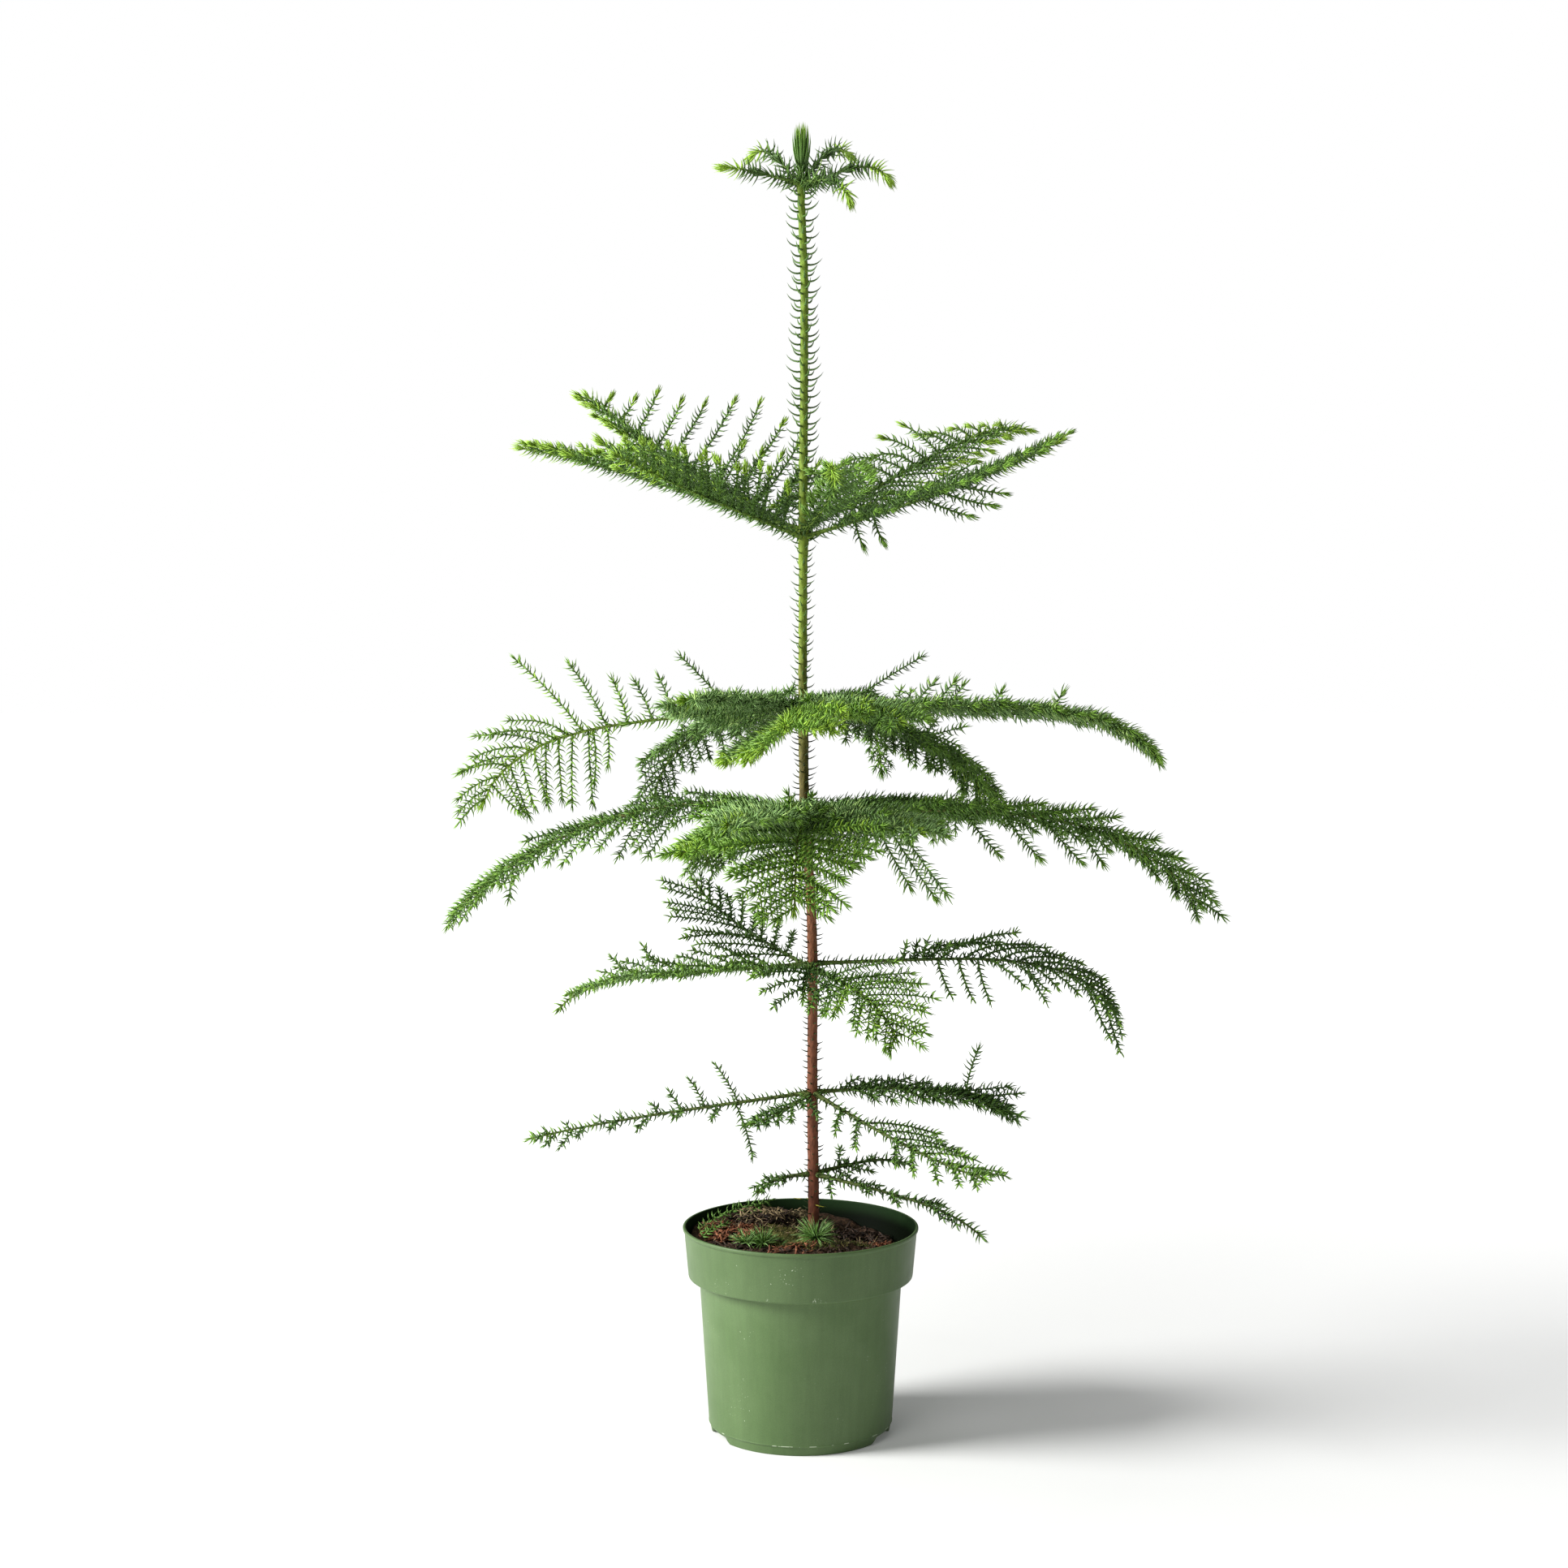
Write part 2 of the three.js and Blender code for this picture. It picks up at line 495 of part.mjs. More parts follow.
function potSolid() {
  const { height, wall } = POT;
  const bandFoot = height - POT.bandHeight;
  const bodyTop = bandFoot - POT.stepHeight;
  const profile = [
    [0, 0],
    [POT.padRadius, 0],
    [POT.padRadius + 2, POT.footHeight],
    [POT.footRadius - POT.footRingWidth, POT.footHeight],
    [POT.footRadius - POT.footRingWidth, 0],
    [POT.footRadius, 0],
    [POT.bodyFootRadius, 7],
    [POT.bodyTopRadius, bodyTop],
    [POT.bandFootRadius, bandFoot],
    [POT.bandTopRadius, height - POT.lipHeight],
    [POT.rimRadius, height - POT.lipHeight + 0.8],
    [POT.rimRadius, height],
    [POT.rimRadius - 2.8, height],
    [POT.bandFootRadius - wall, LEDGE.high],
    [POT.bodyTopRadius - wall, LEDGE.low],
    [POT.bodyFootRadius - wall, POT.floorTop + 1],
    [0, POT.floorTop],
  ];
  const lathe = new THREE.LatheGeometry(profile.map(([r, z]) => new THREE.Vector2(r, z)), POT.segments);
  lathe.rotateX(Math.PI / 2);
  let pot = outward(lathe);
  for (const turn of NOTCH.turns) {
    const box = new THREE.BoxGeometry(NOTCH.depth, NOTCH.width, NOTCH.height * 2);
    box.translate(POT.footRadius, 0, 0);
    box.rotateZ((turn - 90) * DEGREE);
    pot = pot.subtract(outward(box));
  }
  return pot;
}

function potInnerRadius(height) {
  const low = [POT.floorTop + 1, POT.bodyFootRadius - POT.wall];
  const middle = [LEDGE.low, POT.bodyTopRadius - POT.wall];
  const shoulder = [LEDGE.high, POT.bandFootRadius - POT.wall];
  const top = [POT.height, POT.rimRadius - 2.8];
  const stretches = [[low, middle], [middle, shoulder], [shoulder, top]];
  const [from, to] = stretches.find((stretch) => height < stretch[1][0]);
  const facet = Math.cos(Math.PI / POT.segments);
  return (from[1] + ((to[1] - from[1]) * (height - from[0])) / (to[0] - from[0])) * facet - GAP;
}

/** The soil's surface: level round the trunk, lumpy outside it, with a hollow on one side. */
function soilHeight(x, y) {
  const fromTrunk = Math.hypot(x - SOIL.trunkX, y);
  const lump = Math.sin(x * 0.09 + 1.3) * Math.cos(y * 0.11 - 0.6) + 0.5 * Math.sin(x * 0.21 - y * 0.17);
  const away = ((Math.atan2(y, x) / DEGREE - SOIL.hollowTurn + 540) % 360) - 180;
  const rise = SOIL.rise - SOIL.hollow * Math.exp(-((away / SOIL.hollowHalf) ** 2));
  const share = Math.min(1, Math.max(0, (fromTrunk - SOIL.padRadius) / 25));
  return SOIL.height + share * (SOIL.bump * lump + rise);
}

function soilSolid() {
  const { segments } = SOIL;
  const surface = [SOIL.padRadius, 38, 58, 76];
  const points = [new THREE.Vector3(SOIL.trunkX, 0, SOIL.height)];
  const ring = (place) => {
    for (let k = 0; k < segments; k += 1) {
      points.push(place((k / segments) * 2 * Math.PI));
    }
  };
  surface.forEach((radius, i) => {
    const shift = SOIL.trunkX * (1 - i / surface.length);
    ring((angle) => {
      const [x, y] = [shift + radius * Math.cos(angle), radius * Math.sin(angle)];
      return new THREE.Vector3(x, y, soilHeight(x, y));
    });
  });
  const wallRadius = potInnerRadius(SOIL.height + SOIL.rise - SOIL.hollow - 2 * SOIL.bump);
  ring((angle) => {
    const [x, y] = [wallRadius * Math.cos(angle), wallRadius * Math.sin(angle)];
    return new THREE.Vector3(x, y, soilHeight(x, y));
  });
  for (const height of [LEDGE.high, LEDGE.low, POT.floorTop + 1]) {
    const radius = potInnerRadius(height) - (height < LEDGE.low ? 0.4 : 0.2);
    ring((angle) => new THREE.Vector3(radius * Math.cos(angle), radius * Math.sin(angle), height + GAP));
  }
  const triangles = [];
  const rings = (points.length - 1) / segments;
  for (let k = 0; k < segments; k += 1) {
    const next = (k + 1) % segments;
    triangles.push(0, 1 + k, 1 + next);
    for (let i = 0; i + 1 < rings; i += 1) {
      const [a, b] = [1 + i * segments + k, 1 + i * segments + next];
      triangles.push(a, a + segments, b, b, a + segments, b + segments);
    }
  }
  const last = 1 + (rings - 1) * segments;
  for (let k = 1; k + 1 < segments; k += 1) {
    triangles.push(last, last + k + 1, last + k);
  }
  return outward(geometryOf(points, triangles));
}

// ---------------------------------------------------------------- trunk, boughs and foliage

function trunkSolid() {
  const points = TRUNK.map(([height, x]) => new THREE.Vector3(x, 0, height));
  return tube(points, TRUNK.map((row) => row[2]), TRUNK_SIDES, new THREE.Vector3(0, 0, 1));
}

/** A tapering tube along part of a bough's axis, from one length along it to another. */
function limbAlong(axis, bough, from, to, shape) {
  const steps = Math.max(1, Math.round((to - from) / shape.step));
  const points = [];
  const radii = [];
  for (let i = 0; i <= steps; i += 1) {
    const share = (from + ((to - from) * i) / steps) / bough.reach;
    points.push(axisPoint(axis, share));
    radii.push(shape.root + (shape.tip - shape.root) * (i / steps));
  }
  return tube(points, radii, shape.sides);
}

/** True where a trial solid meets any of the solids already in place. */
function blocked(trial, others) {
  const box = trial.boundingBox();
  return others.some((other) => {
    const reach = other.boundingBox();
    const apart = [0, 1, 2].some((k) => box.min[k] > reach.max[k] || box.max[k] < reach.min[k]);
    return !apart && trial.intersect(other).volume() > 1e-6;
  });
}

/** Where a limb or stem has its root GAP clear of the trunk's bark, measured along its axis. */
function rootStation(axis, bough, to, shape, trunk) {
  const step = 0.1;
  let station = trunkAt(bough.height).radius + shape.root + 2;
  while (!blocked(limbAlong(axis, bough, station, to, shape), [trunk])) {
    station -= step;
  }
  return station + step + GAP;
}

/** The blades of one mass: the twigs of each side that are far enough apart, where there is room. */
function foliageBlades(bough, axis, stemStart, others) {
  const blades = [];
  for (const twig of frondTwigs(bough, axis)) {
    const station = twig.share * bough.reach;
    if (!twig.chosen || twig.length < TWIG.shortest || station < stemStart + 3) {
      continue;
    }
    const tilt = 0.55 * chance(bough.seed, twig.order, 30 + twig.side);
    if (!blocked(blade(twig, tilt, BLADE.spare), others)) {
      blades.push(blade(twig, tilt, 0));
    }
  }
  return blades;
}

/** The blade that ends a stem, in line with it. */
function tipBlade(bough, axis, length) {
  const share = 1 - length / bough.reach;
  const start = axisPoint(axis, share);
  const { out } = axisFrame(axis, share, bough.roll);
  const heading = axisPoint(axis, 1).sub(start).divideScalar(length);
  return { start, length: length + 5, heading, arch: new THREE.Vector3(), out };
}

/** Stout needles round a short stem, in turns of the golden angle. */
function stemNeedles(bough, axis, stemStart, others) {
  const needles = [];
  for (let i = 0; i < NEEDLE.count; i += 1) {
    const share = (stemStart + ((bough.reach - stemStart) * (i + 0.7)) / (NEEDLE.count + 0.4)) / bough.reach;
    const { along, across, out } = axisFrame(axis, share, 0);
    const round = i * 137.5 * DEGREE;
    const side = across.multiplyScalar(Math.cos(round)).addScaledVector(out, Math.sin(round));
    const heading = along.multiplyScalar(Math.cos(NEEDLE.angle * DEGREE));
    heading.addScaledVector(side, Math.sin(NEEDLE.angle * DEGREE));
    const start = axisPoint(axis, share);
    if (!blocked(needle(start, heading, NEEDLE.length, BLADE.spare), others)) {
      needles.push(needle(start, heading, NEEDLE.length, 0));
    }
  }
  return needles;
}

/** The bud at the top of the trunk: a short stem with needles that stand up round it. */
function leaderTuft() {
  const [top, x, radius] = TRUNK[TRUNK.length - 1];
  const stem = [
    new THREE.Vector3(x, 0, top + GAP),
    new THREE.Vector3(x, 0, top + 8),
    new THREE.Vector3(x, 0, top + 17),
  ];
  let tuft = tube(stem, [radius, radius + 0.9, 0.6], 6, new THREE.Vector3(0, 0, 1));
  for (let i = 0; i < 10; i += 1) {
    const round = i * 137.5 * DEGREE;
    const lean = (i % 2 ? 20 : 32) * DEGREE;
    const heading = new THREE.Vector3(
      Math.sin(lean) * Math.cos(round),
      Math.sin(lean) * Math.sin(round),
      Math.cos(lean),
    );
    tuft = tuft.add(needle(new THREE.Vector3(x, 0, top + 2.5 + i * 0.45), heading, 17 + (i % 3), 0));
  }
  return tuft;
}

// ---------------------------------------------------------------- assembly

const plant = new THREE.Group();
const pot = potSolid();
const soil = soilSolid();
const trunk = trunkSolid();
const placed = [pot, soil, trunk];
plant.add(meshOf("pot", pot, COLOUR.pot, 0.45));
plant.add(meshOf("soil", soil, COLOUR.soil, 0.95));
plant.add(meshOf("trunk", trunk, COLOUR.trunk, 0.8));

const tuft = leaderTuft();
placed.push(tuft);
plant.add(meshOf("foliage_leader", tuft, COLOUR.tuft, 0.6));

const boughs = WHORLS.flatMap((whorl) =>
  whorl.boughs.map((row, i) => ({
    ...USUAL,
    ...row,
    name: `${whorl.name}_${row.side}`,
    height: whorl.height + whorl.stagger * (i % 2 ? -1 : 1),
    colour: whorl.colour,
  })),
);

// Limbs and stems take their places first, then each mass grows where there is room.
const grown = boughs.map((bough, i) => {
  bough.seed = i + 1;
  const axis = boughAxis(bough);
  let stemStart = rootStation(axis, bough, bough.reach, STEM, trunk);
  if (bough.limb) {
    const limbEnd = bough.limb * bough.reach;
    const limb = limbAlong(axis, bough, rootStation(axis, bough, limbEnd, LIMB, trunk), limbEnd, LIMB);
    placed.push(limb);
    plant.add(meshOf(`bough_${bough.name}`, limb, COLOUR.limb, 0.75));
    stemStart = limbEnd + GAP;
  }
  const stem = limbAlong(axis, bough, stemStart, bough.reach, STEM);
  placed.push(stem);
  return { bough, axis, stem, stemStart };
});

for (const { bough, axis, stem, stemStart } of grown) {
  const others = placed.filter((solid) => solid !== stem);
  const sprays = bough.twig
    ? foliageBlades(bough, axis, stemStart, others)
    : stemNeedles(bough, axis, stemStart, others);
  const tip = tipBlade(bough, axis, bough.twig ? 34 : 20);
  if (!blocked(blade(tip, 0.3, BLADE.spare), others)) {
    sprays.push(blade(tip, 0.3, 0));
  }
  const mass = largestPiece(sprays.reduce((whole, spray) => whole.add(spray), stem));
  placed[placed.indexOf(stem)] = mass;
  plant.add(meshOf(`foliage_${bough.name}`, mass, bough.colour, 0.6));
}

export default plant;
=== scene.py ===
"""The looks of a potted Norfolk Island pine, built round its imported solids.

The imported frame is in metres, +Z up, with the plant's front towards -Y. The growth rule below works in
millimetres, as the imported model's own rule does, and MM turns its points into metres.
"""

import math
from collections import defaultdict, namedtuple

import bpy
import numpy as np
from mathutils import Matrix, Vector


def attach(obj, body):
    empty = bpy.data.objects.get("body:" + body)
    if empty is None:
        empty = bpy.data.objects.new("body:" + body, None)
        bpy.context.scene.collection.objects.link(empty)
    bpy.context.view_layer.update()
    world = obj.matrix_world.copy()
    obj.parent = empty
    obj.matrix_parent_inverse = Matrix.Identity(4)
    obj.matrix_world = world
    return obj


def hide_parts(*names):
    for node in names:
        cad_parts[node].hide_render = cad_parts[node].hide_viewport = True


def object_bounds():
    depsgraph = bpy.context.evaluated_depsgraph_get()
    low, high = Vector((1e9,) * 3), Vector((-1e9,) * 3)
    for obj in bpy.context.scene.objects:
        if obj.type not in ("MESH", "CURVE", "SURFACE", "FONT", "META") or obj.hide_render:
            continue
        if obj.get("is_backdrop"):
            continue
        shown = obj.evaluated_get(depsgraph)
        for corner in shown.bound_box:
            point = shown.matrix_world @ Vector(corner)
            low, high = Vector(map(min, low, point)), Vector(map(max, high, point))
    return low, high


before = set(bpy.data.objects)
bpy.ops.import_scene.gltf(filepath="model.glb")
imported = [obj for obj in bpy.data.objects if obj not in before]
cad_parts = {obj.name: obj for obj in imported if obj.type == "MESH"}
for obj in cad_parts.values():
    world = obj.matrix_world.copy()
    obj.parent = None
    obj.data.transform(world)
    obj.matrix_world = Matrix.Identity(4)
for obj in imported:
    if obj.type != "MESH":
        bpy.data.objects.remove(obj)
CAD_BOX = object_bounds()
MM = 0.001
UP = np.array([0.0, 0.0, 1.0])
GOLDEN = math.radians(137.5)
RANDOM = np.random.default_rng(17)


# ---------------------------------------------------------------- camera, floor and light

CAMERA = {"lens": 59.38, "sensor": 36, "place": (-0.0143, -2.200, 0.7174), "pitch": -4.10}
# Name, place, width in metres and power in watts of each lamp, and the point that they face.
LAMPS = [
    ("key", (-2.4, -0.5, 1.5), 1.3, 150),
    ("front", (-0.9, -1.9, 2.6), 1.4, 16),
    ("top", (0.2, 0.3, 2.8), 1.8, 16),
]
LIT_POINT = (0, 0, 0.5)
SKY = {"Color": (0.93, 0.96, 1, 1), "Strength": 0.12}
BACKDROP = {"Color": (1, 1, 1, 1), "Strength": 1}
FLOOR_REACH = 14
# The floor's own light, from and to so many metres away.
FLOOR_GLOW = {"low": 0.08, "high": 0.96, "span": (0.3, 2.4)}


def add_object(name, data):
    thing = bpy.data.objects.new(name, data)
    bpy.context.scene.collection.objects.link(thing)
    return thing


def add_camera():
    data = bpy.data.cameras.new("camera")
    data.lens, data.sensor_width = CAMERA["lens"], CAMERA["sensor"]
    camera = add_object("camera", data)
    camera.location = CAMERA["place"]
    camera.rotation_euler = (math.radians(90 + CAMERA["pitch"]), 0, 0)
    bpy.context.scene.camera = camera


def add_lamp(name, place, size, power):
    data = bpy.data.lights.new(name, "AREA")
    data.shape, data.size, data.energy = "DISK", size, power
    lamp = add_object(name, data)
    lamp.location = place
    lamp.rotation_mode = "QUATERNION"
    lamp.rotation_quaternion = Vector(np.subtract(LIT_POINT, place)).to_track_quat("-Z", "Y")


def add_world():
    """A white backdrop for the eye, and a dimmer soft light from all round."""
    world = bpy.data.worlds.new("studio")
    bpy.context.scene.world = world
    world.use_nodes = True
    tree = world.node_tree
    tree.nodes.clear()
    kinds = ("OutputWorld", "MixShader", "LightPath")
    output, mix, path = (tree.nodes.new(f"ShaderNode{kind}") for kind in kinds)
    tree.links.new(path.outputs["Is Camera Ray"], mix.inputs["Fac"])
    for socket, light in ((1, SKY), (2, BACKDROP)):
        node = tree.nodes.new("ShaderNodeBackground")
        for key, value in light.items():
            node.inputs[key].default_value = value
        tree.links.new(node.outputs[0], mix.inputs[socket])
    tree.links.new(mix.outputs[0], output.inputs["Surface"])


def add_stage():
    add_camera()
    add_world()
    for lamp in LAMPS:
        add_lamp(*lamp)
    bpy.context.scene.view_settings.view_transform = "Standard"
    data = bpy.data.meshes.new("floor")
    corners = [(x * FLOOR_REACH, y * FLOOR_REACH, 0) for x, y in ((-1, -1), (1, -1), (1, 1), (-1, 1))]
    data.from_pydata(corners, [], [(0, 1, 2, 3)])
    data.materials.append(floor_paint().material)
    floor = add_object("floor", data)
    floor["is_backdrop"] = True


def floor_paint():
    """A pale floor that fades to the white of the backdrop with distance."""
    paint = Paint("floor_pale", srgb(236, 236, 234), 0.8, 0.1)
    away = paint.node("ShaderNodeVectorMath", (0, paint.place), operation="LENGTH").outputs["Value"]
    paint.shader.inputs["Emission Color"].default_value = (1, 1, 1, 1)
    paint.feed("Emission Strength", paint.spread(away, **FLOOR_GLOW))
    return paint


# ---------------------------------------------------------------- materials


def srgb(red, green, blue):
    """A colour as seen on a screen, 0 to 255, in linear light."""
    shares = [value / 255 for value in (red, green, blue)]
    linear = [s / 12.92 if s <= 0.04045 else ((s + 0.055) / 1.055) ** 2.4 for s in shares]
    return (*linear, 1)


class Paint:
    """One procedural material: a Principled shader with short calls for the nodes that feed it."""

    def __init__(self, name, colour, roughness, specular=0.5):
        self.material = bpy.data.materials.new(name)
        self.material.use_nodes = True
        self.tree = self.material.node_tree
        self.shader = self.tree.nodes["Principled BSDF"]
        self.shader.inputs["Base Color"].default_value = colour
        self.shader.inputs["Roughness"].default_value = roughness
        self.shader.inputs["Specular IOR Level"].default_value = specular
        self.place = self.tree.nodes.new("ShaderNodeTexCoord").outputs["Object"]

    def node(self, kind, *links, **settings):
        """A node of that kind. Links are (input, value or output) pairs."""
        node = self.tree.nodes.new(kind)
        for key, value in settings.items():
            setattr(node, key, value)
        for key, value in links:
            if isinstance(value, bpy.types.NodeSocket):
                self.tree.links.new(value, node.inputs[key])
            else:
                node.inputs[key].default_value = value
        return node

    def feed(self, name, output):
        self.tree.links.new(output, self.shader.inputs[name])

    def noise(self, scale, detail=3, stretch=(1, 1, 1)):
        mapping = self.node("ShaderNodeMapping", ("Vector", self.place), ("Scale", stretch))
        links = [("Vector", mapping.outputs[0]), ("Scale", scale), ("Detail", detail), ("Roughness", 0.6)]
        return self.node("ShaderNodeTexNoise", *links).outputs["Fac"]

    def ramp(self, value, *stops):
        """Colours or greys along a 0 to 1 value. Stops are (place, colour) pairs."""
        node = self.node("ShaderNodeValToRGB", ("Fac", value))
        node.color_ramp.interpolation = "EASE"
        marks = node.color_ramp.elements
        while len(marks) < len(stops):
            marks.new(0.5)
        for mark, (place, colour) in zip(marks, stops):
            mark.position = place
            mark.color = colour if hasattr(colour, "__len__") else (colour, colour, colour, 1)
        return node.outputs["Color"]

    def patches(self, scale, low, high, least=0.0, **noise):
        """Noise as patches of 1 on a ground of least, with their edges between two values of it."""
        return self.ramp(self.noise(scale, **noise), (low, least), (high, 1.0))

    def spread(self, value, low, high, span=(0, 1)):
        """A value that runs over a span, turned into one that runs from low to high."""
        links = [("Value", value), ("From Min", span[0]), ("From Max", span[1])]
        links += [("To Min", low), ("To Max", high)]
        return self.node("ShaderNodeMapRange", *links).outputs[0]

    def mix(self, share, first, second, blend="MIX"):
        node = self.node("ShaderNodeMix", data_type="RGBA", blend_type=blend)
        for socket, value in ((0, share), (6, first), (7, second)):
            if isinstance(value, bpy.types.NodeSocket):
                self.tree.links.new(value, node.inputs[socket])
            else:
                node.inputs[socket].default_value = value
        return node.outputs[2]

    def times(self, first, *others):
        for other in others:
            first = self.mix(1.0, first, other, "MULTIPLY")
        return first

    def sum(self, first, second):
        return self.node("ShaderNodeMath", (0, first), (1, second), operation="ADD").outputs[0]

    def band(self, axis, low, high):
        """0 below one place on an axis and 1 above another, in millimetres."""
        parts = self.node("ShaderNodeSeparateXYZ", ("Vector", self.place))
        return self.spread(parts.outputs[axis], 0, 1, (low * MM, high * MM))

    def stripe(self, axis, low, high):
        """1 between two places on an axis and 0 outside them, in millimetres."""
        soft = (high - low) / 4
        rise = self.band(axis, low - soft, low + soft)
        fall = self.band(axis, high + soft, high - soft)
        return self.node("ShaderNodeMath", (0, rise), (1, fall), operation="MULTIPLY").outputs[0]

    def inward(self):
        """1 on faces that look in to the middle axis and 0 on those that look out."""
        facing = self.node("ShaderNodeNewGeometry").outputs["Normal"]
        outward = self.node("ShaderNodeVectorMath", (0, self.place), (1, (1, 1, 0)), operation="MULTIPLY")
        links = [(0, outward.outputs[0]), (1, facing)]
        look = self.node("ShaderNodeVectorMath", *links, operation="DOT_PRODUCT").outputs["Value"]
        return self.spread(look, 0, 1, (-0.02, -0.06))

    def colour(self, output):
        self.feed("Base Color", output)

    def roughness(self, value, low, high):
        self.feed("Roughness", self.spread(value, low, high))

    def bump(self, value, height):
        node = self.node("ShaderNodeBump", ("Height", value), ("Distance", height * MM), ("Strength", 1))
        self.feed("Normal", node.outputs[0])


# ---------------------------------------------------------------- meshes


def make_piece(name, points, faces, paint, replaced):
    """A mesh from points in millimetres and an array of triangles or of four-sided faces."""
    sides = faces.shape[1]
    data = bpy.data.meshes.new(name)
    data.vertices.add(len(points))
    data.vertices.foreach_set("co", (np.asarray(points, np.float32) * MM).ravel())
    data.loops.add(faces.size)
    data.loops.foreach_set("vertex_index", faces.astype(np.int32).ravel())
    data.polygons.add(len(faces))
    data.polygons.foreach_set("loop_start", np.arange(0, faces.size, sides, dtype=np.int32))
    data.polygons.foreach_set("use_smooth", np.ones(len(faces), bool))
    data.update(calc_edges=True)
    data.validate()
    data.materials.append(paint.material)
    piece = add_object(name, data)
    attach(piece, "root")
    if replaced:
        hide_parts(*replaced)


def unit(vectors):
    return vectors / np.maximum(np.linalg.norm(vectors, axis=-1, keepdims=True), 1e-9)


def across_and_up(along):
    """Two directions square to each of many."""
    steep = np.abs(along[..., 2:3]) > 0.9
    reference = np.where(steep, np.array([1.0, 0, 0]), UP)
    across = unit(np.cross(along, reference))
    return across, np.cross(across, along)


def level(turn):
    """Level directions at angles round the plant."""
    return np.stack([np.cos(turn), np.sin(turn), np.zeros_like(turn)], -1)


def leant(axis, side, angles):
    """Directions between an axis and a side, at angles from the axis."""
    angles = np.asarray(angles)[..., None]
    return axis * np.cos(angles) + side * np.sin(angles)


def skin(steps, sides):
    """Four-sided faces between rings of points that climb, wound to look outwards."""
    ring, side = np.meshgrid(np.arange(steps - 1), np.arange(sides), indexing="ij")
    a = (ring * sides + side).ravel()
    b = (ring * sides + (side + 1) % sides).ravel()
    return np.stack([a, b, b + sides, a + sides], 1)


def closed_skin(steps, sides):
    """The same in triangles, with both ends closed."""
    wall = skin(steps, sides)[:, [0, 1, 2, 0, 2, 3]].reshape(-1, 3)
    fan = np.array([[0, k + 1, k] for k in range(1, sides - 1)])
    return np.concatenate([wall, fan, (steps - 1) * sides + fan[:, ::-1]])


def tubes(paths, radii, sides):
    """Closed tubes: paths is (tubes, points, 3), radii (tubes, points) or (tubes, points, sides)."""
    count, steps, _ = paths.shape
    across, up = across_and_up(unit(np.gradient(paths, axis=1)))
    spoke = leant(across[:, :, None], up[:, :, None], np.arange(sides) * 2 * math.pi / sides)
    reach = radii[..., None] if radii.ndim == 2 else radii
    points = (paths[:, :, None] + spoke * reach[..., None]).reshape(-1, 3)
    shift = (np.arange(count) * steps * sides)[:, None, None]
    return points, (closed_skin(steps, sides)[None, :, ::-1] + shift).reshape(-1, 3)


def awls(starts, headings, bends, lengths, widths, rings=2):
    """Closed three-sided needles that taper to a point and turn from their headings to their bends."""
    count = len(starts)
    shares = np.arange(rings + 1) / rings
    turn = (bends - headings)[:, None]
    path = headings[:, None] * shares[:, None] + turn * (shares**2 / 2)[:, None]
    path = starts[:, None] + path * lengths[:, None, None]
    along = unit(headings[:, None] + turn * shares[:rings, None])
    across, up = across_and_up(along)
    angles = np.radians([90, 210, 330])
    thick = np.broadcast_to(widths, count)[:, None] / 2 * (1 - 0.9 * shares[:rings] ** 1.6)
    spoke = across[:, :, None] * np.cos(angles)[:, None] + 0.75 * up[:, :, None] * np.sin(angles)[:, None]
    ring_points = path[:, :rings, None] + spoke * thick[..., None, None]
    points = np.concatenate([ring_points.reshape(count, -1, 3), path[:, rings:]], 1)
    faces = [[0, 2, 1]]
    for ring in range(rings - 1):
        for k in range(3):
            a, b = ring * 3 + k, ring * 3 + (k + 1) % 3
            faces += [[a, b, b + 3], [a, b + 3, a + 3]]
    last = (rings - 1) * 3
    faces += [[last + k, last + (k + 1) % 3, rings * 3] for k in range(3)]
    shift = (np.arange(count) * (rings * 3 + 1))[:, None, None]
    return points.reshape(-1, 3), (np.array(faces)[None] + shift).reshape(-1, 3)


class Heap:
    """Meshes of one kind and tint, joined into pieces that stay under a number of triangles."""

    MOST = 190_000

    def __init__(self):
        self.parts = []

    def add(self, mesh):
        self.parts.append(mesh)

    def make(self, name, paint, slot, replaced):
        batches = [[]]
        for points, faces in self.parts:
            filled = sum(len(f) for _, f in batches[-1])
            if filled and filled + len(faces) > self.MOST:
                batches.append([])
            batches[-1].append((points, faces))
        for number, batch in enumerate(batches, 1):
            shifts = np.cumsum([0] + [len(points) for points, _ in batch[:-1]])
            points = np.concatenate([points for points, _ in batch])
            faces = np.concatenate([faces + shift for (_, faces), shift in zip(batch, shifts)])
            label = name if len(batches) == 1 else f"{name}_{number}"
            make_piece(label, points, faces, paint, replaced)


# ---------------------------------------------------------------- the growth rule, in millimetres

SOIL_HEIGHT = 162
# Height above the origin, sideways lean and radius of the trunk.
TRUNK = [
    (162.3, 11.8, 6.4), (172, 11.7, 5.2), (190, 11.4, 4.7), (227, 10.8, 4.6), (294, 10.1, 4.5),
    (330, 10.1, 4.2), (403, 10.4, 4.3), (457, 9.0, 4.0), (500, 6.0, 4.0), (536, 3.4, 4.5), (560, 2.7, 3.9),
    (623, 2.0, 4.4), (645, 1.6, 3.5), (740, 1.9, 3.4), (772, 2.0, 4.4), (795, 1.9, 3.5), (900, 2.7, 3.2),
    (985, 2.9, 3.1), (1050, 0.2, 2.9), (1062, 0, 3.2), (1075, 0, 2.0), (1092, 0, 1.2),
]
TRUNK_TOP = TRUNK[-1][0]
AXIS_STEPS = 16

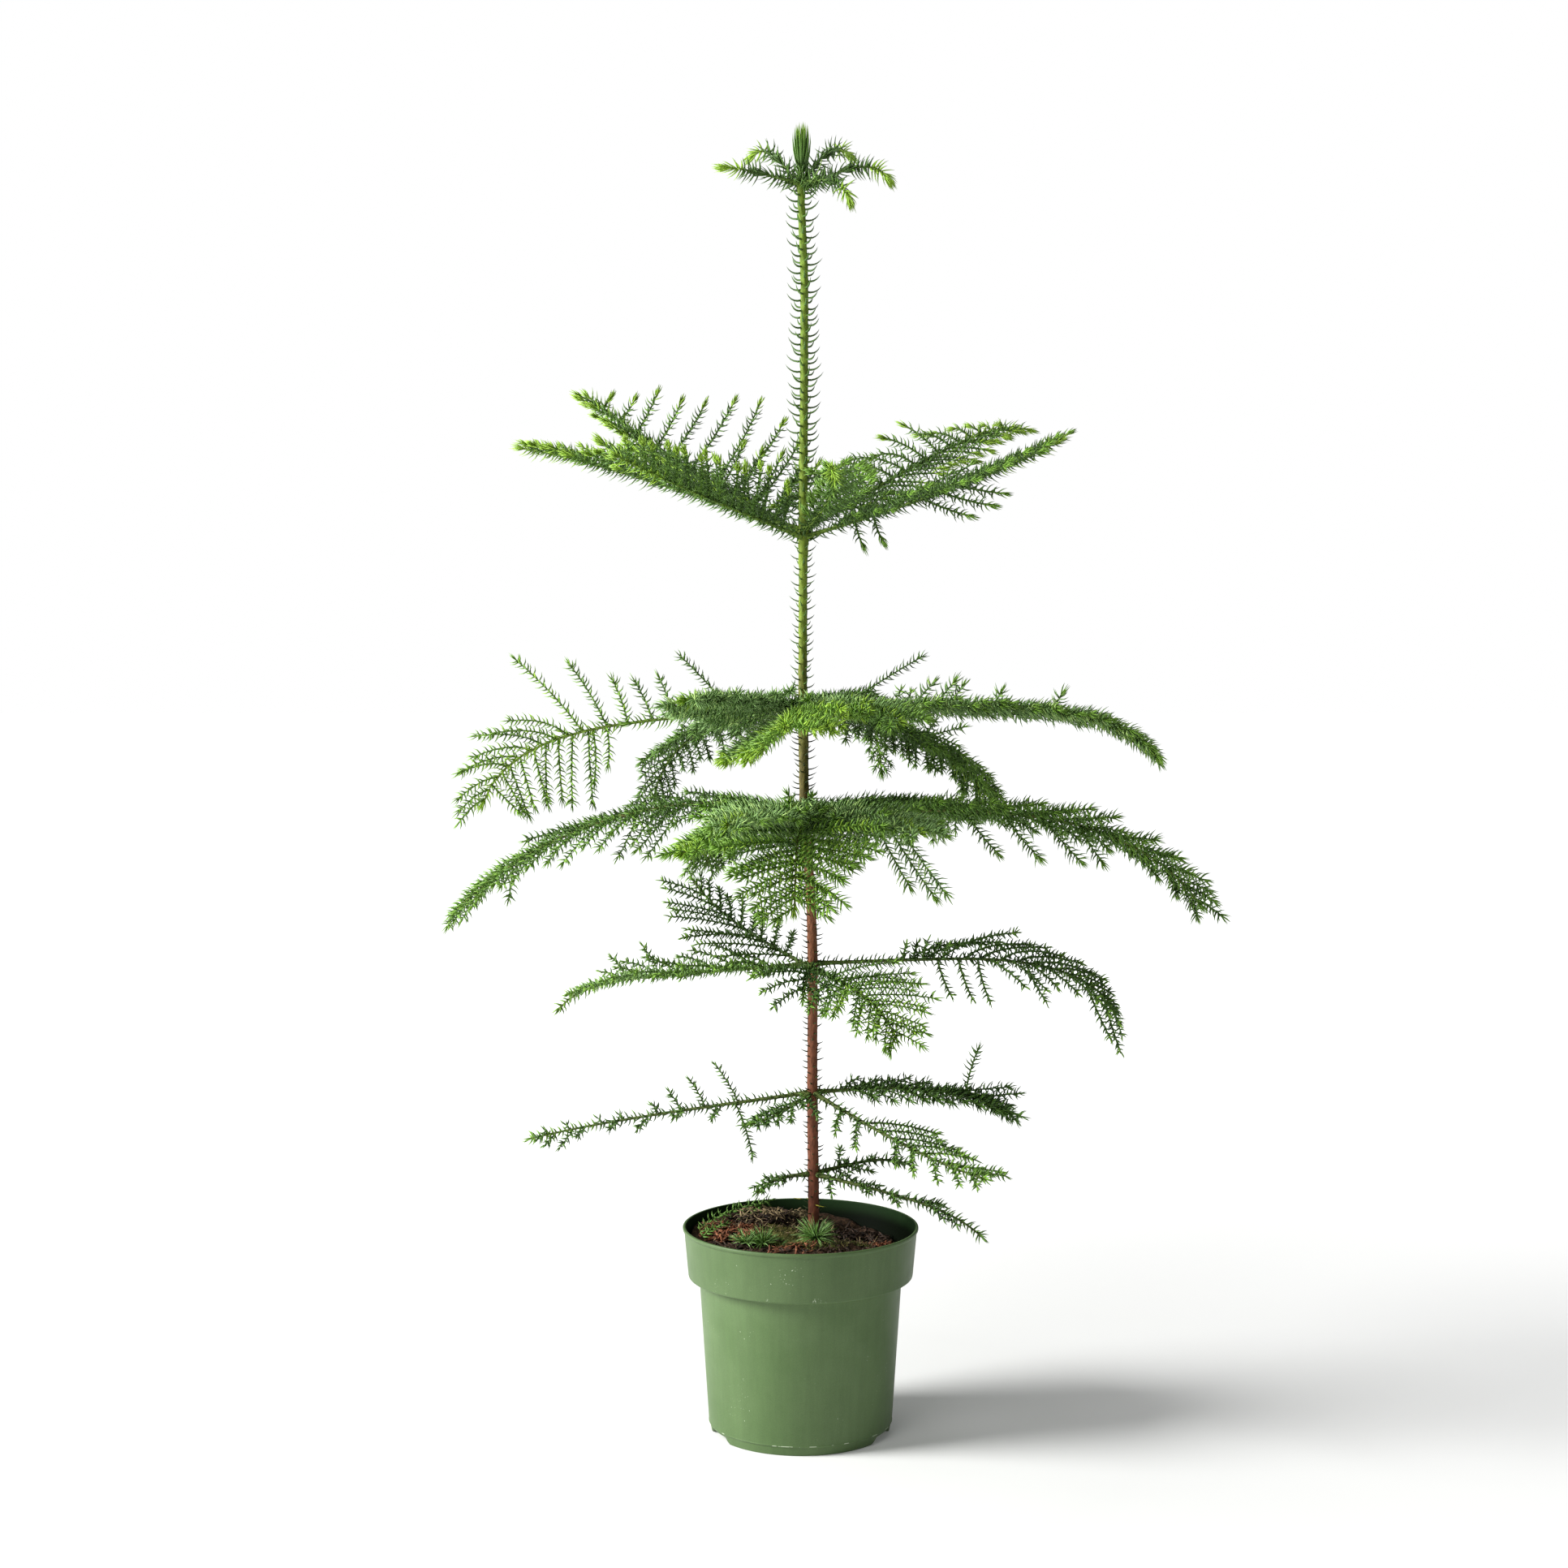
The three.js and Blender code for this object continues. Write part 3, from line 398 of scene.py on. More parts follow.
# What a bough is given when its row doesn't say otherwise. Angles are in degrees, and a pair holds one value
# for each side of the bough, the counter-clockwise side first.
#   bend: how late the slope changes   sweep: how far the bough turns sideways
#   roll: tilt of the frond about the bough   bare: length before the first twig
#   spacing: length from twig to twig   keep: share of the twigs that grow
#   twig: longest side twig   fade: how much shorter the twigs get towards the tip
#   angle, lift: how far the twigs lean from the bough and stand up from the frond
#   curl, hook: how far they arch upwards and towards the tip
#   lone: single twigs as (share of the reach, side, length, lift, angle)
#   limb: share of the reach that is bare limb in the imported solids
USUAL = {
    "bend": 2, "sweep": 0, "roll": 0, "bare": 30, "spacing": 13, "keep": 1, "twig": 62, "fade": 0.68,
    "angle": 62, "lift": 12, "curl": -0.2, "hook": 0.12, "lone": [], "limb": 0,
}
TWIG_NARROW = 22
LONE_HOOK = 0.15
# How far the twigs of a row stray in place, length, angle, lift and curl.
STRAY = {"place": 0.18, "length": 0.12, "angle": 6, "lift": 8, "curl": 0.3}


def frond(side, turn, reach, rise, fall, **more):
    """One bough: the side it grows to, its compass angle counter-clockwise from +X, its length and its
    slopes at its root and tip, then what differs from USUAL and from its whorl."""
    return {"side": side, "turn": turn, "reach": reach, "rise": rise, "fall": fall, **more}


# Boughs whose twigs are brushes of long needles.
BRUSH = {"kinds": "bough brush", "thick": 1.2}
# Each whorl's name, what its boughs share, and the boughs. They share the whorl's height, how far they stand
# above and below it in turn, and their slot; kinds of needles on boughs and on twigs; how thick the twigs are
# and whether finer ones grow between them; and the tints of inner sprays, of outer ones, of twig tips and of
# the bough's tip. The tints are partly the needles' own colours and partly painted light and shade: dense w2
# and w3 fronds that lie in each other's shade take lighter tints, and w2_back_left, seen in shade, darker
# ones.
WHORLS = [
    ("w0", dict(height=1062, stagger=2.4, slot="foliage_top", kinds="crown crown", thick=1, finer=False,
                shades="deep deep mid tip"), [
        frond("left", 190, 66, 13, -2, bend=4, twig=0),
        frond("back_left", 140, 70, 50, -40, bend=3.6, twig=0),
        frond("back_right", 50, 80, 43, -44, bend=3.5, twig=0),
        frond("right", 352, 81, 24, -65, bend=3.5, twig=0),
        frond("front_right", 310, 70, 2, -70, bend=2.4, twig=0),
    ]),
    ("w1", dict(height=772, stagger=3, slot="foliage_upper", kinds="bough fresh", thick=1.5, finer=False,
                shades="deep mid tip tip"), [
        frond("left", 172, 256, 18, 9, bend=4, fade=0.85, lift=(14, 26), curl=-0.05, limb=0.17,
              lone=[(0.2, 1, 42, 66, 78), (0.3, 1, 40, 64, 74), (0.4, 1, 38, 60, 72)]),
        frond("back_left", 142, 280, 26, 32, spacing=(13, 25), twig=(56, 90), fade=(0.68, 1.15),
              angle=(62, 97), lift=(8, 52), curl=(-0.05, 0.05), limb=0.16, lone=[(0.12, 1, 56, 64, 84),
              (0.16, 1, 60, 52, 92), (0.22, 1, 54, 60, 88), (0.29, 1, 48, 58, 86), (0.36, 1, 44, 58, 84)]),
        frond("back_right", 42, 282, 24, 2, bend=5, spacing=(15, 12), twig=(92, 50), fade=(1.1, 0.68),
              angle=(118, 62), lift=(52, 0), curl=(-0.42, -0.25), limb=0.16),
        frond("right", 350, 232, 17, 29, bend=2.7, lift=(26, 14), curl=(-0.12, -0.2), limb=0.18,
              lone=[(0.2, 1, 24, -82, 96), (0.27, 1, 25, -80, 94), (0.46, 1, 44, -62, 48),
              (0.53, 1, 46, -58, 44), (0.6, 1, 40, -52, 42)], shades="deep deep fresh tip"),
        frond("front", 287, 232, 13, 5, sweep=-24, spacing=17, twig=(44, 16), angle=72, lift=(16, 40),
              curl=0.05, limb=0.17, lone=[(0.8, 1, 22, 6, 60)], shades="deep mid fresh tip"),
        frond("front_left", 228, 230, 14, 19, bend=3, lift=(34, 30), curl=0, limb=0.18),
    ]),
    ("w2", dict(height=623, stagger=3, slot="foliage_middle", kinds="bough twig", thick=1.15, finer=True,
                shades="deep mid fresh tip"), [
        frond("left", 180, 300, -5, -74, bend=4.5, roll=88, bare=(188, 198), spacing=12, twig=(70, 86),
              fade=(0.6, 0.75), angle=(88, 72), lift=0, curl=(-0.1, -0.32), hook=(-0.05, 0.3), limb=0.2,
              lone=[(0.37, 1, 38, 0, 84), (0.43, 1, 36, 0, 80), (0.5, 1, 40, 0, 88), (0.56, 1, 60, 0, 76),
              (0.63, 1, 80, 0, 70), (0.56, -1, 34, 10, 92), (0.6, -1, 46, 0, 88)], finer=False,
              shades="mid fresh fresh tip"),
        # w2_back_left: darker tints, painted shade for a frond that hangs in the shade of w2_left.
        frond("back_left", 126, 262, -6, -74, bend=3.5, curl=-0.35, limb=0.18, lone=[(0.36, -1, 76, 56, 80),
              (0.44, 1, 54, 32, 92)], finer=False, shades="deep deep mid mid"),
        frond("back", 71, 264, 3, -82, bend=3, twig=(34, 40), fade=0.8, lift=(12, 14), curl=(-0.3, -0.1),
              lone=[(0.52, 1, 74, 38, 78)], finer=False, shades="deep mid mid fresh"),
        frond("back_right", 42, 256, -2, -42, bend=1.2, curl=-0.35, limb=0.18, lone=[(0.4, -1, 50, 62, 66),
              (0.42, 1, 40, 62, 60), (0.46, -1, 54, 60, 70), (0.56, 1, 40, 50, 50), (0.58, -1, 44, 55, 60)]),
        frond("right", 355, 312, 0, -50, bend=5, sweep=8, roll=14, twig=42, angle=52, lift=(8, 2), curl=-0.06,
              limb=0.18, lone=[(0.3, -1, 28, 64, 62), (0.36, 1, 26, 70, 60), (0.4, -1, 24, 66, 70),
              (0.52, 1, 17, 50, 80), (0.68, 1, 18, 62, 80)], **BRUSH, shades="cool cool fresh tip"),
        frond("front_right", 296, 176, 8, -12, bend=1.5, twig=60, lift=16, **BRUSH, finer=False,
              shades="cool mid fresh tip"),
        # w2_front: lighter tints, partly painted light on a dense frond shaded by its neighbours.
        frond("front", 265.5, 200, 0, -8, twig=(82, 84), fade=(0.6, 0.7), lift=(13, -32), curl=(-0.15, -0.1),
              kinds="bough brush", thick=1.4, finer=False, shades="cool fresh tip tip"),
        frond("front_left", 238, 184, 9, -2, twig=56, lift=(10, -24), curl=(-0.1, 0), **BRUSH,
              shades="cool cool cool tip"),
    ]),
    ("w3", dict(height=536, stagger=3, slot="foliage_middle", kinds="bough twig", thick=1.15, finer=True,
                shades="deep mid fresh fresh"), [
        frond("left", 183, 324, 8, -46, bend=1.2, lift=(0, 14), curl=(-0.34, -0.2), limb=0.18,
              lone=[(0.33, -1, 52, -58, 60), (0.35, -1, 46, -64, 52), (0.44, -1, 42, -60, 62),
              (0.8, -1, 28, -72, 60)], thick=1.2, finer=False),
        frond("back_left", 120, 196, -6, -56, bend=3, curl=-0.35, limb=0.2),
        frond("back_right", 52, 250, 2, -14, bend=1.5, spacing=(19, 13), lift=(-14, 12), curl=(-0.7, -0.4),
              limb=0.18, lone=[(0.93, -1, 20, 80, 60)]),
        frond("right", 357, 367, 3, -56, bend=2.6, sweep=10, roll=28, twig=52, fade=0.55, lift=(12, 0),
              curl=-0.1, limb=0.16, lone=[(0.37, 1, 50, -72, 66), (0.46, 1, 52, -75, 62),
              (0.555, 1, 50, -75, 58), (0.645, 1, 38, -75, 62)], **BRUSH, finer=False,
              shades="mid mid fresh fresh"),
        frond("front_right", 302, 176, 0, -8, bare=18, twig=60, lone=[(0.6, -1, 60, -74, 66),
              (0.7, -1, 70, -70, 60), (0.8, -1, 66, -72, 52)], **BRUSH, finer=False,
              shades="cool cool fresh tip"),
        # w3_front: lighter tints, partly painted light where w3_front_left and its own left twigs shade its
        # axis.
        frond("front", 267, 208, 0, -75, bend=3, bare=12, twig=88, fade=0.75, angle=84, curl=-0.08,
              lone=[(0.26, 1, 32, 66, 60), (0.33, -1, 34, 68, 56), (0.4, 1, 32, 70, 52),
              (0.47, -1, 30, 72, 50)], **BRUSH, shades="cool fresh fresh tip"),
        frond("front_left", 254, 228, 3, -3, bare=14, twig=50, **BRUSH, finer=False,
              shades="cool cool fresh tip"),
        frond("left_front", 233, 170, 0, -14, bend=1, twig=45, **BRUSH, finer=False,
              shades="cool fresh fresh tip"),
    ]),
    ("w4", dict(height=403, stagger=2.5, slot="foliage_lower", kinds="bare thorn", thick=1.2, finer=False,
                shades="deep dull fresh fresh"), [
        frond("left", 183, 226, -4, -54, bend=7, spacing=(13, 16), keep=0.9, fade=(0.95, 1.3), lift=(16, 34),
              curl=(-0.1, -0.15), limb=0.24, lone=[(0.58, 1, 30, 62, 74), (0.7, 1, 24, 66, 70)],
              shades="mid cool fresh fresh"),
        frond("back_left", 142, 152, 20, 48, bend=3, twig=(80, 58), lift=(4, 18)),
        frond("right", 2, 278, 2, -60, bend=4.2, bare=(84, 150), spacing=16, twig=(86, 44), fade=(1.05, 0.4),
              angle=(50, 56), lift=(48, -14), curl=(-0.36, -0.3), hook=(0.35, 0.1), limb=0.24,
              lone=[(0.28, 1, 18, 60, 90), (0.34, 1, 20, 66, 86), (0.31, -1, 18, 50, 80),
              (0.37, -1, 20, 40, 76), (0.4, 1, 18, 56, 80), (0.385, 1, 34, -82, 78), (0.45, 1, 36, -82, 78),
              (0.51, 1, 38, -82, 80), (0.66, 1, 36, -76, 62), (0.86, 1, 48, -82, 44), (0.93, 1, 46, -82, 40)],
              thick=1.5),
        frond("front_right", 302, 140, -6, -50, bend=2.4, spacing=17, twig=(74, 58), fade=0.8, lift=(28, 8),
              curl=(-0.12, -0.3), kinds="bare twig", thick=1, finer=True, shades="mid fresh fresh fresh"),
        frond("front", 262, 70, -8, -40, bare=14, twig=(36, 66), lift=(10, 24)),
    ]),
    ("w5", dict(height=294, stagger=0, slot="foliage_lower", kinds="bare thorn", thick=1.2, finer=False,
                shades="deep dull mid fresh"), [
        frond("left", 180, 248, -8, -14, bend=3, bare=(90, 60), spacing=(30, 24), twig=(34, 40),
              fade=(0.8, 3.2), angle=(92, 80), lift=(-8, 66), curl=0, limb=0.22,
              lone=[(0.27, -1, 52, -80, 108), (0.84, -1, 20, -40, 58), (0.9, 1, 18, -50, 50)], thick=1),
        frond("right", 5, 176, 3, -30, bend=2.4, keep=0.95, twig=(38, 34), fade=0.5, lift=(16, 4),
              lone=[(0.76, -1, 42, 86, 98), (0.7, -1, 52, 24, 30), (0.82, -1, 40, 36, 34),
              (0.78, 1, 44, -12, 24)], kinds="bare twig", finer=True),
        frond("front_right", 318, 196, -18, -4, bend=2.5, spacing=(17, 21), keep=0.85, twig=(64, 42),
              lift=(16, 0), shades="deep mid fresh fresh"),
        frond("front", 224, 74, -20, -2, bare=16, keep=0.9, twig=26, lone=[(0.12, -1, 34, -10, 66)]),
    ]),
    ("w6", dict(height=223, stagger=0, slot="foliage_lower", kinds="bare thorn", thick=1, finer=False,
                shades="deep dull mid mid"), [
        frond("left", 195, 54, -2, -50, bend=2.5, bare=24, keep=0.8, twig=22),
        frond("right", 335, 163, -8, -40, bend=4, keep=0.45, twig=28, lone=[(0.1, 1, 20, -30, 70),
              (0.14, -1, 22, 36, 64)]),
        frond("back_right", 25, 98, 8, -30, bend=3, keep=0.45, twig=20, lone=[(0.2, 1, 22, -40, 62),
              (0.26, -1, 20, 40, 70), (0.32, 1, 24, -12, 60)]),
    ]),
]


def chance(seed, index, kind):
    """A repeatable number from -1 to 1."""
    value = math.sin(seed * 12.9898 + index * 78.233 + kind * 37.719) * 43758.5453
    return (value - math.floor(value)) * 2 - 1


def trunk_at(height):
    """The trunk's lean and radius at a height."""
    rows = np.array(TRUNK)
    return np.interp(height, rows[:, 0], rows[:, 1]), np.interp(height, rows[:, 0], rows[:, 2])


def bough_axis(bough):
    """The points of a bough's axis, from the trunk's own axis to the tip."""
    point = np.array([trunk_at(bough["height"])[0], 0, bough["height"]], float)
    points = [point.copy()]
    step = bough["reach"] / AXIS_STEPS
    for i in range(AXIS_STEPS):
        share = (i + 0.5) / AXIS_STEPS
        slope = math.radians(bough["rise"] + (bough["fall"] - bough["rise"]) * share ** bough["bend"])
        turn = math.radians(bough["turn"] + bough["sweep"] * share)
        flat = math.cos(slope)
        point += step * np.array([flat * math.cos(turn), flat * math.sin(turn), math.sin(slope)])
        points.append(point.copy())
    return np.array(points)


def axis_point(axis, share):
    place = min(max(share, 0), 0.9999) * AXIS_STEPS
    i = math.floor(place)
    return axis[i] + (axis[i + 1] - axis[i]) * (place - i)


def axis_frame(axis, share, roll):
    """Directions along, across and out of a frond at a place on its axis."""
    i = math.floor(min(max(share, 0), 0.9999) * AXIS_STEPS)
    along = unit(axis[i + 1] - axis[i])
    flat = unit(np.cross(along, UP))
    up = np.cross(flat, along)
    turn = math.radians(roll)
    across = flat * math.cos(turn) + up * math.sin(turn)
    out = up * math.cos(turn) - flat * math.sin(turn)
    return along, across, out


def twig_row(bough, axis, share, side, length, lift, angle, curl, hook):
    """One side twig, as the start, length, direction and arch of its curve."""
    along, across, out = axis_frame(axis, share, bough["roll"] * min(1, 0.3 + 1.4 * share))
    spread = math.sin(math.radians(angle))
    heading = along * math.cos(math.radians(angle))
    heading = heading + across * side * math.cos(math.radians(lift)) * spread
    heading = heading + out * math.sin(math.radians(lift)) * spread
    arch = along * hook + UP * curl
    start = axis_point(axis, share)
    return {"share": share, "start": start, "length": length, "heading": heading, "arch": arch}


def frond_twigs(bough, axis):
    """Every side twig of a frond: a row down each side, then the lone ones."""
    twigs = []
    for side in (-1, 1):
        half = (side + 1) // 2
        own = {key: value[half] if isinstance(value, tuple) else value for key, value in bough.items()}
        for i in range(math.floor((own["reach"] - own["bare"] - 6) / own["spacing"]) + 1):

            def roam(kind):
                return chance(own["seed"], i, kind + side)

            place = i + 0.22 * side + STRAY["place"] * roam(1)
            share = (own["bare"] + own["spacing"] * place) / own["reach"]
            if share > 0.985 or roam(5) > own["keep"] * 2 - 1:
                continue
            profile = min(1, 0.55 + 1.6 * share) * max(0.15, 1 - own["fade"] * share**2.4)
            length = own["twig"] * profile * (1 + STRAY["length"] * roam(9)) / (1 + 0.35 * abs(own["curl"]))
            angle = own["angle"] - TWIG_NARROW * share + STRAY["angle"] * roam(13)
            lift = own["lift"] + STRAY["lift"] * roam(17)
            curl = own["curl"] * (1 + STRAY["curl"] * roam(21))
            twigs.append(twig_row(own, axis, share, side, length, lift, angle, curl, own["hook"]))
    for share, side, length, lift, angle in bough["lone"]:
        twigs.append(twig_row(bough, axis, share, side, length, lift, angle, 0, LONE_HOOK))
    return twigs


def finer_row(row):
    """The same frond's rule for the shorter twigs that grow midway between its own."""
    pairs = {key: np.array(row[key]) * (1, 1) for key in ("spacing", "bare", "twig", "lift")}
    finer = {
        "bare": pairs["bare"] + pairs["spacing"] / 2,
        "twig": pairs["twig"] * 0.82,
        "lift": pairs["lift"] - 9,
    }
    finer = {key: tuple(value.tolist()) for key, value in finer.items()}
    return {**row, **finer, "lone": [], "seed": row["seed"] + 100}


def all_boughs():
    """The boughs of every whorl, with their names, heights and seeds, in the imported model's order."""
    boughs = []
    for whorl, shared, rows in WHORLS:
        for i, row in enumerate(rows):
            height = shared["height"] + shared["stagger"] * (-1 if i % 2 else 1)
            own = {"whorl": whorl, "name": f"{whorl}_{row['side']}", "height": height}
            boughs.append({**USUAL, **shared, **row, **own, "seed": len(boughs) + 1})
    return boughs


# ---------------------------------------------------------------- needles

# Needles round a strand: their length, the strand's length for each, their angles to the strand where they
# leave it and at their tips, and their width where they leave it. At the strand's tip so many more of them
# make its bud, and they close over it from so many millimetres before it. Last, the rings of each.
Needle = namedtuple("Needle", "length each leave end width bud close rings")
NEEDLES = {
    "fresh": Needle(9.4, 1.35, 80, 30, 2.3, 9, 10, 2),
    "twig": Needle(8.6, 1.4, 78, 36, 2.2, 4, 3, 2),
    "brush": Needle(10.5, 1.15, 72, 36, 2.3, 6, 4, 2),
    "thorn": Needle(6.6, 1.35, 74, 48, 2.5, 3, 2, 2),
    "bough": Needle(11.5, 1.3, 76, 40, 2.1, 10, 8, 2),
    "bare": Needle(8.0, 1.4, 78, 50, 2.5, 5, 4, 2),
    "crown": Needle(12.5, 0.72, 84, 56, 2.4, 26, 12, 3),
    "leader": Needle(16.5, 1.75, 98, 24, 3.0, 0, 1, 5),
    "stem": Needle(10.5, 1.7, 86, 34, 2.2, 0, 1, 4),
    "spine": Needle(11.0, 1.8, 88, 48, 2.1, 0, 1, 3),
}
BUD_REACH = 5
# How far needles stray, round their strand in radians, in angle in degrees and in length.
NEEDLE_STRAY = {"round": 0.35, "angle": 7, "length": 0.16}
# By what share the angles, the length and the width of a bud's needles shrink.
BUD_CLOSE = {"leave": 0.8, "end": 1.1, "length": 0.12, "width": 0.25}

# Needle tints: a plain colour for each, dealt out by spray. The shade tint is painted shade, for the spines
# on the trunk under the crown, and some WHORLS rows use the others as painted light and shade.
TINTS = {
    "shade": srgb(52, 66, 32),
    "deep": srgb(78, 110, 48),
    "mid": srgb(98, 136, 58),
    "cool": srgb(126, 162, 94),
    "fresh": srgb(122, 164, 62),
    "tip": srgb(146, 184, 58),
    "dull": srgb(76, 108, 52),
    "pale": srgb(170, 202, 118),
}
# The tint that one needle in five takes instead: a painted highlight, a lighter needle that stands for light
# caught on the sprays.
HIGHLIGHT_TINT = {
    "shade": "deep", "deep": "mid", "mid": "fresh", "cool": "pale", "fresh": "tip", "tip": "pale",
    "dull": "mid",
}


def place_needles(points, radius, kind):
    """Where a strand's needles stand: starts, headings, bends, lengths, widths, shares along it, rings."""
    rule = NEEDLES[kind]
    steps = np.diff(points, axis=0)
    spans = np.linalg.norm(steps, axis=1)
    total = np.concatenate([[0], np.cumsum(spans)])
    reach = total[-1]
    bud = np.linspace(max(0, reach - BUD_REACH), reach, rule.bud)
    at = np.concatenate([np.arange(rule.each / 2, reach, rule.each), bud])
    closing = np.sqrt(np.clip(1 - (reach - at) / rule.close, 0, 1))
    roam = RANDOM.uniform(-1, 1, (4, len(at)))
    place = np.stack([np.interp(at, total, points[:, k]) for k in range(3)], 1)
    i = np.clip(np.searchsorted(total, at) - 1, 0, len(spans) - 1)
    along = unit(steps[i])
    shut = {key: 1 - share * closing for key, share in BUD_CLOSE.items()}
    side = leant(*across_and_up(along), np.arange(len(at)) * GOLDEN + NEEDLE_STRAY["round"] * roam[0])
    headings = leant(along, side, np.radians(rule.leave * shut["leave"] + NEEDLE_STRAY["angle"] * roam[1]))
    bends = leant(along, side, np.radians(rule.end * shut["end"] + NEEDLE_STRAY["angle"] * roam[2]))
    lengths = rule.length * (1 + NEEDLE_STRAY["length"] * roam[3]) * shut["length"]
    widths = rule.width * shut["width"]
    share = np.where(closing > 0.3, 1, np.minimum(at / reach, 0.999))
    return place + side * radius * 0.5, headings, bends, lengths, widths, share, rule.rings


class Needles:
    """Needles sorted by material slot and tint."""

    def __init__(self):
        self.heaps = defaultdict(Heap)

    def dress(self, points, radius, kind, slot, tint, tip_tint, tip_from):
        *stand, share, rings = place_needles(points, radius, kind)
        tip = share >= tip_from
        # One needle in five, at random, takes a lighter tint as a painted highlight.
        highlighted = RANDOM.uniform(0, 1, len(share)) < 0.2
        for name, chosen in ((tint, ~tip & ~highlighted), (HIGHLIGHT_TINT[tint], ~tip & highlighted), (tip_tint, tip)):
            if chosen.any():
                self.heaps[slot, name].add(awls(*[values[chosen] for values in stand], rings=rings))

    def make(self, masses):
        for (slot, tint), heap in sorted(self.heaps.items()):
            heap.make(f"needles_{slot[8:]}_{tint}", NEEDLE_PAINT[tint], slot, masses[slot])


def needle_paint(name, colour):
    """A needle's plain tint, a little darker in soft patches."""
    paint = Paint(f"needle_{name}", colour, 0.5, 0.3)
    darker = (*(value * 0.74 for value in colour[:3]), 1)
    paint.colour(paint.ramp(paint.noise(55, detail=2), (0.35, darker), (0.65, colour)))
    paint.roughness(paint.noise(400), 0.38, 0.56)
    return paint


NEEDLE_PAINT = {name: needle_paint(name, colour) for name, colour in TINTS.items()}


# ---------------------------------------------------------------- boughs and twigs

LIMB = {"root": 1.8, "tip": 0.8, "collar": 1.4, "collar_reach": 7, "sides": 8, "step": 2.4}
SHOOT = {"root": 0.65, "tip": 0.45, "sides": 4, "points": 7}


def bough_path(bough, axis):
    """Points along a bough from the trunk's bark to its tip, and the bough's radius at each."""
    bark = trunk_at(bough["height"])[1] - 1
    reach = bough["reach"]
    count = max(4, int((reach - bark) / LIMB["step"]))
    stations = np.linspace(bark, reach, count)
    points = np.array([axis_point(axis, station / reach) for station in stations])
    share = stations / reach
    slim = 0.8 if bough["twig"] == 0 else 1
    radii = (LIMB["root"] + (LIMB["tip"] - LIMB["root"]) * share**0.8) * slim
    radii = radii + LIMB["collar"] * np.exp(-(stations - bark) / LIMB["collar_reach"])
    return points, radii


def bark_relief(radii, sides):
    """Radii round each ring of a limb, with the low cushions that needles leave on young bark."""
    rings = np.arange(len(radii))[:, None]
    around = np.arange(sides)[None] * 2 * math.pi / sides
    cushion = np.cos(around * 2 - rings * 1.9) * np.cos(rings * 0.9 + around)
    rough = RANDOM.uniform(-1, 1, (len(radii), sides))
    return radii[:, None] * (1 + 0.1 * cushion + 0.05 * rough)


def twig_path(twig):
    share = np.linspace(0, 1, SHOOT["points"])[:, None]
    return twig["start"] + twig["length"] * (twig["heading"] * share + twig["arch"] * share**2)


def grow_crown():
    """The boughs, twigs and needles of the whole crown."""
    needles, limbs, shoots = Needles(), defaultdict(Heap), defaultdict(Heap)
    replaced, masses = defaultdict(list), defaultdict(list)
    for bough in all_boughs():
        slot, whorl, thick = bough["slot"], bough["whorl"], bough["thick"]
        masses[slot].append(f"foliage_{bough['name']}")
        if bough["limb"]:
            replaced[whorl].append(f"bough_{bough['name']}")
        inner, outer, twig_tip, bough_tip = bough["shades"].split()
        kind, twig_kind = bough["kinds"].split()
        axis = bough_axis(bough)
        points, radii = bough_path(bough, axis)
        limbs[whorl].add(tubes(points[None], bark_relief(radii, LIMB["sides"])[None], LIMB["sides"]))
        middle = len(points) // 2
        needles.dress(points[: middle + 1], 1.2, kind, slot, inner, outer, 0.55)
        needles.dress(points[middle:], 0.9, kind, slot, outer, bough_tip, 0.5)
        twigs = frond_twigs(bough, axis) if bough["twig"] else []
        if bough["finer"]:
            twigs += frond_twigs(finer_row(bough), axis)
        for twig in twigs:
            path = twig_path(twig)
            radii = np.linspace(SHOOT["root"], SHOOT["tip"], SHOOT["points"]) * thick
            shoots[slot].add(tubes(path[None], radii[None], SHOOT["sides"]))
            tint = outer if twig["share"] + 0.25 * RANDOM.uniform(-1, 1) > 0.55 else inner
            needles.dress(path, 0.5 * thick, twig_kind, slot, tint, twig_tip, 0.9)
    masses["foliage_top"].append("foliage_leader")
    for whorl, heap in limbs.items():
        heap.make(f"boughs_{whorl}", BOUGH_PAINT[whorl], "boughs", replaced[whorl])
    for slot, heap in shoots.items():
        heap.make(f"twigs_{slot[8:]}", TWIG_PAINT, slot, masses[slot])
    dress_trunk(needles)
    needles.make(masses)


def bark_paint(name, dark, light):
    paint = Paint(f"bark_{name}", dark, 0.7, 0.3)
    paint.colour(paint.ramp(paint.noise(300), (0.35, dark), (0.65, light)))
    paint.bump(paint.noise(900), 0.3)
    return paint


YOUNG_BARK = srgb(112, 140, 48)
OLIVE_BARK = srgb(84, 98, 40)
BOUGH_BARK = {
    "w0": (srgb(74, 98, 36), srgb(94, 122, 46)),
    "w1": (srgb(84, 108, 40), YOUNG_BARK),
    "w2": (OLIVE_BARK, YOUNG_BARK),
    "w3": (OLIVE_BARK, srgb(96, 92, 46)),
    "w4": (srgb(66, 84, 38), OLIVE_BARK),
    "w5": (srgb(72, 86, 40), OLIVE_BARK),
    "w6": (srgb(66, 78, 38), OLIVE_BARK),
}
BOUGH_PAINT = {whorl: bark_paint(whorl, *tints) for whorl, tints in BOUGH_BARK.items()}
TWIG_PAINT = bark_paint("twig", srgb(66, 96, 32), srgb(92, 126, 44))


# ---------------------------------------------------------------- trunk

# Sides and ring spacing of the trunk's skin, length and width of the cushions under its needles and how far
# from one they end, and where old bark starts and over what height it sets in.
BARK = {
    "sides": 32, "step": 1.6, "cushion_long": 3.4, "cushion_wide": 1.1, "cushion_end": 9, "old": 640,
    "old_over": 120,
}
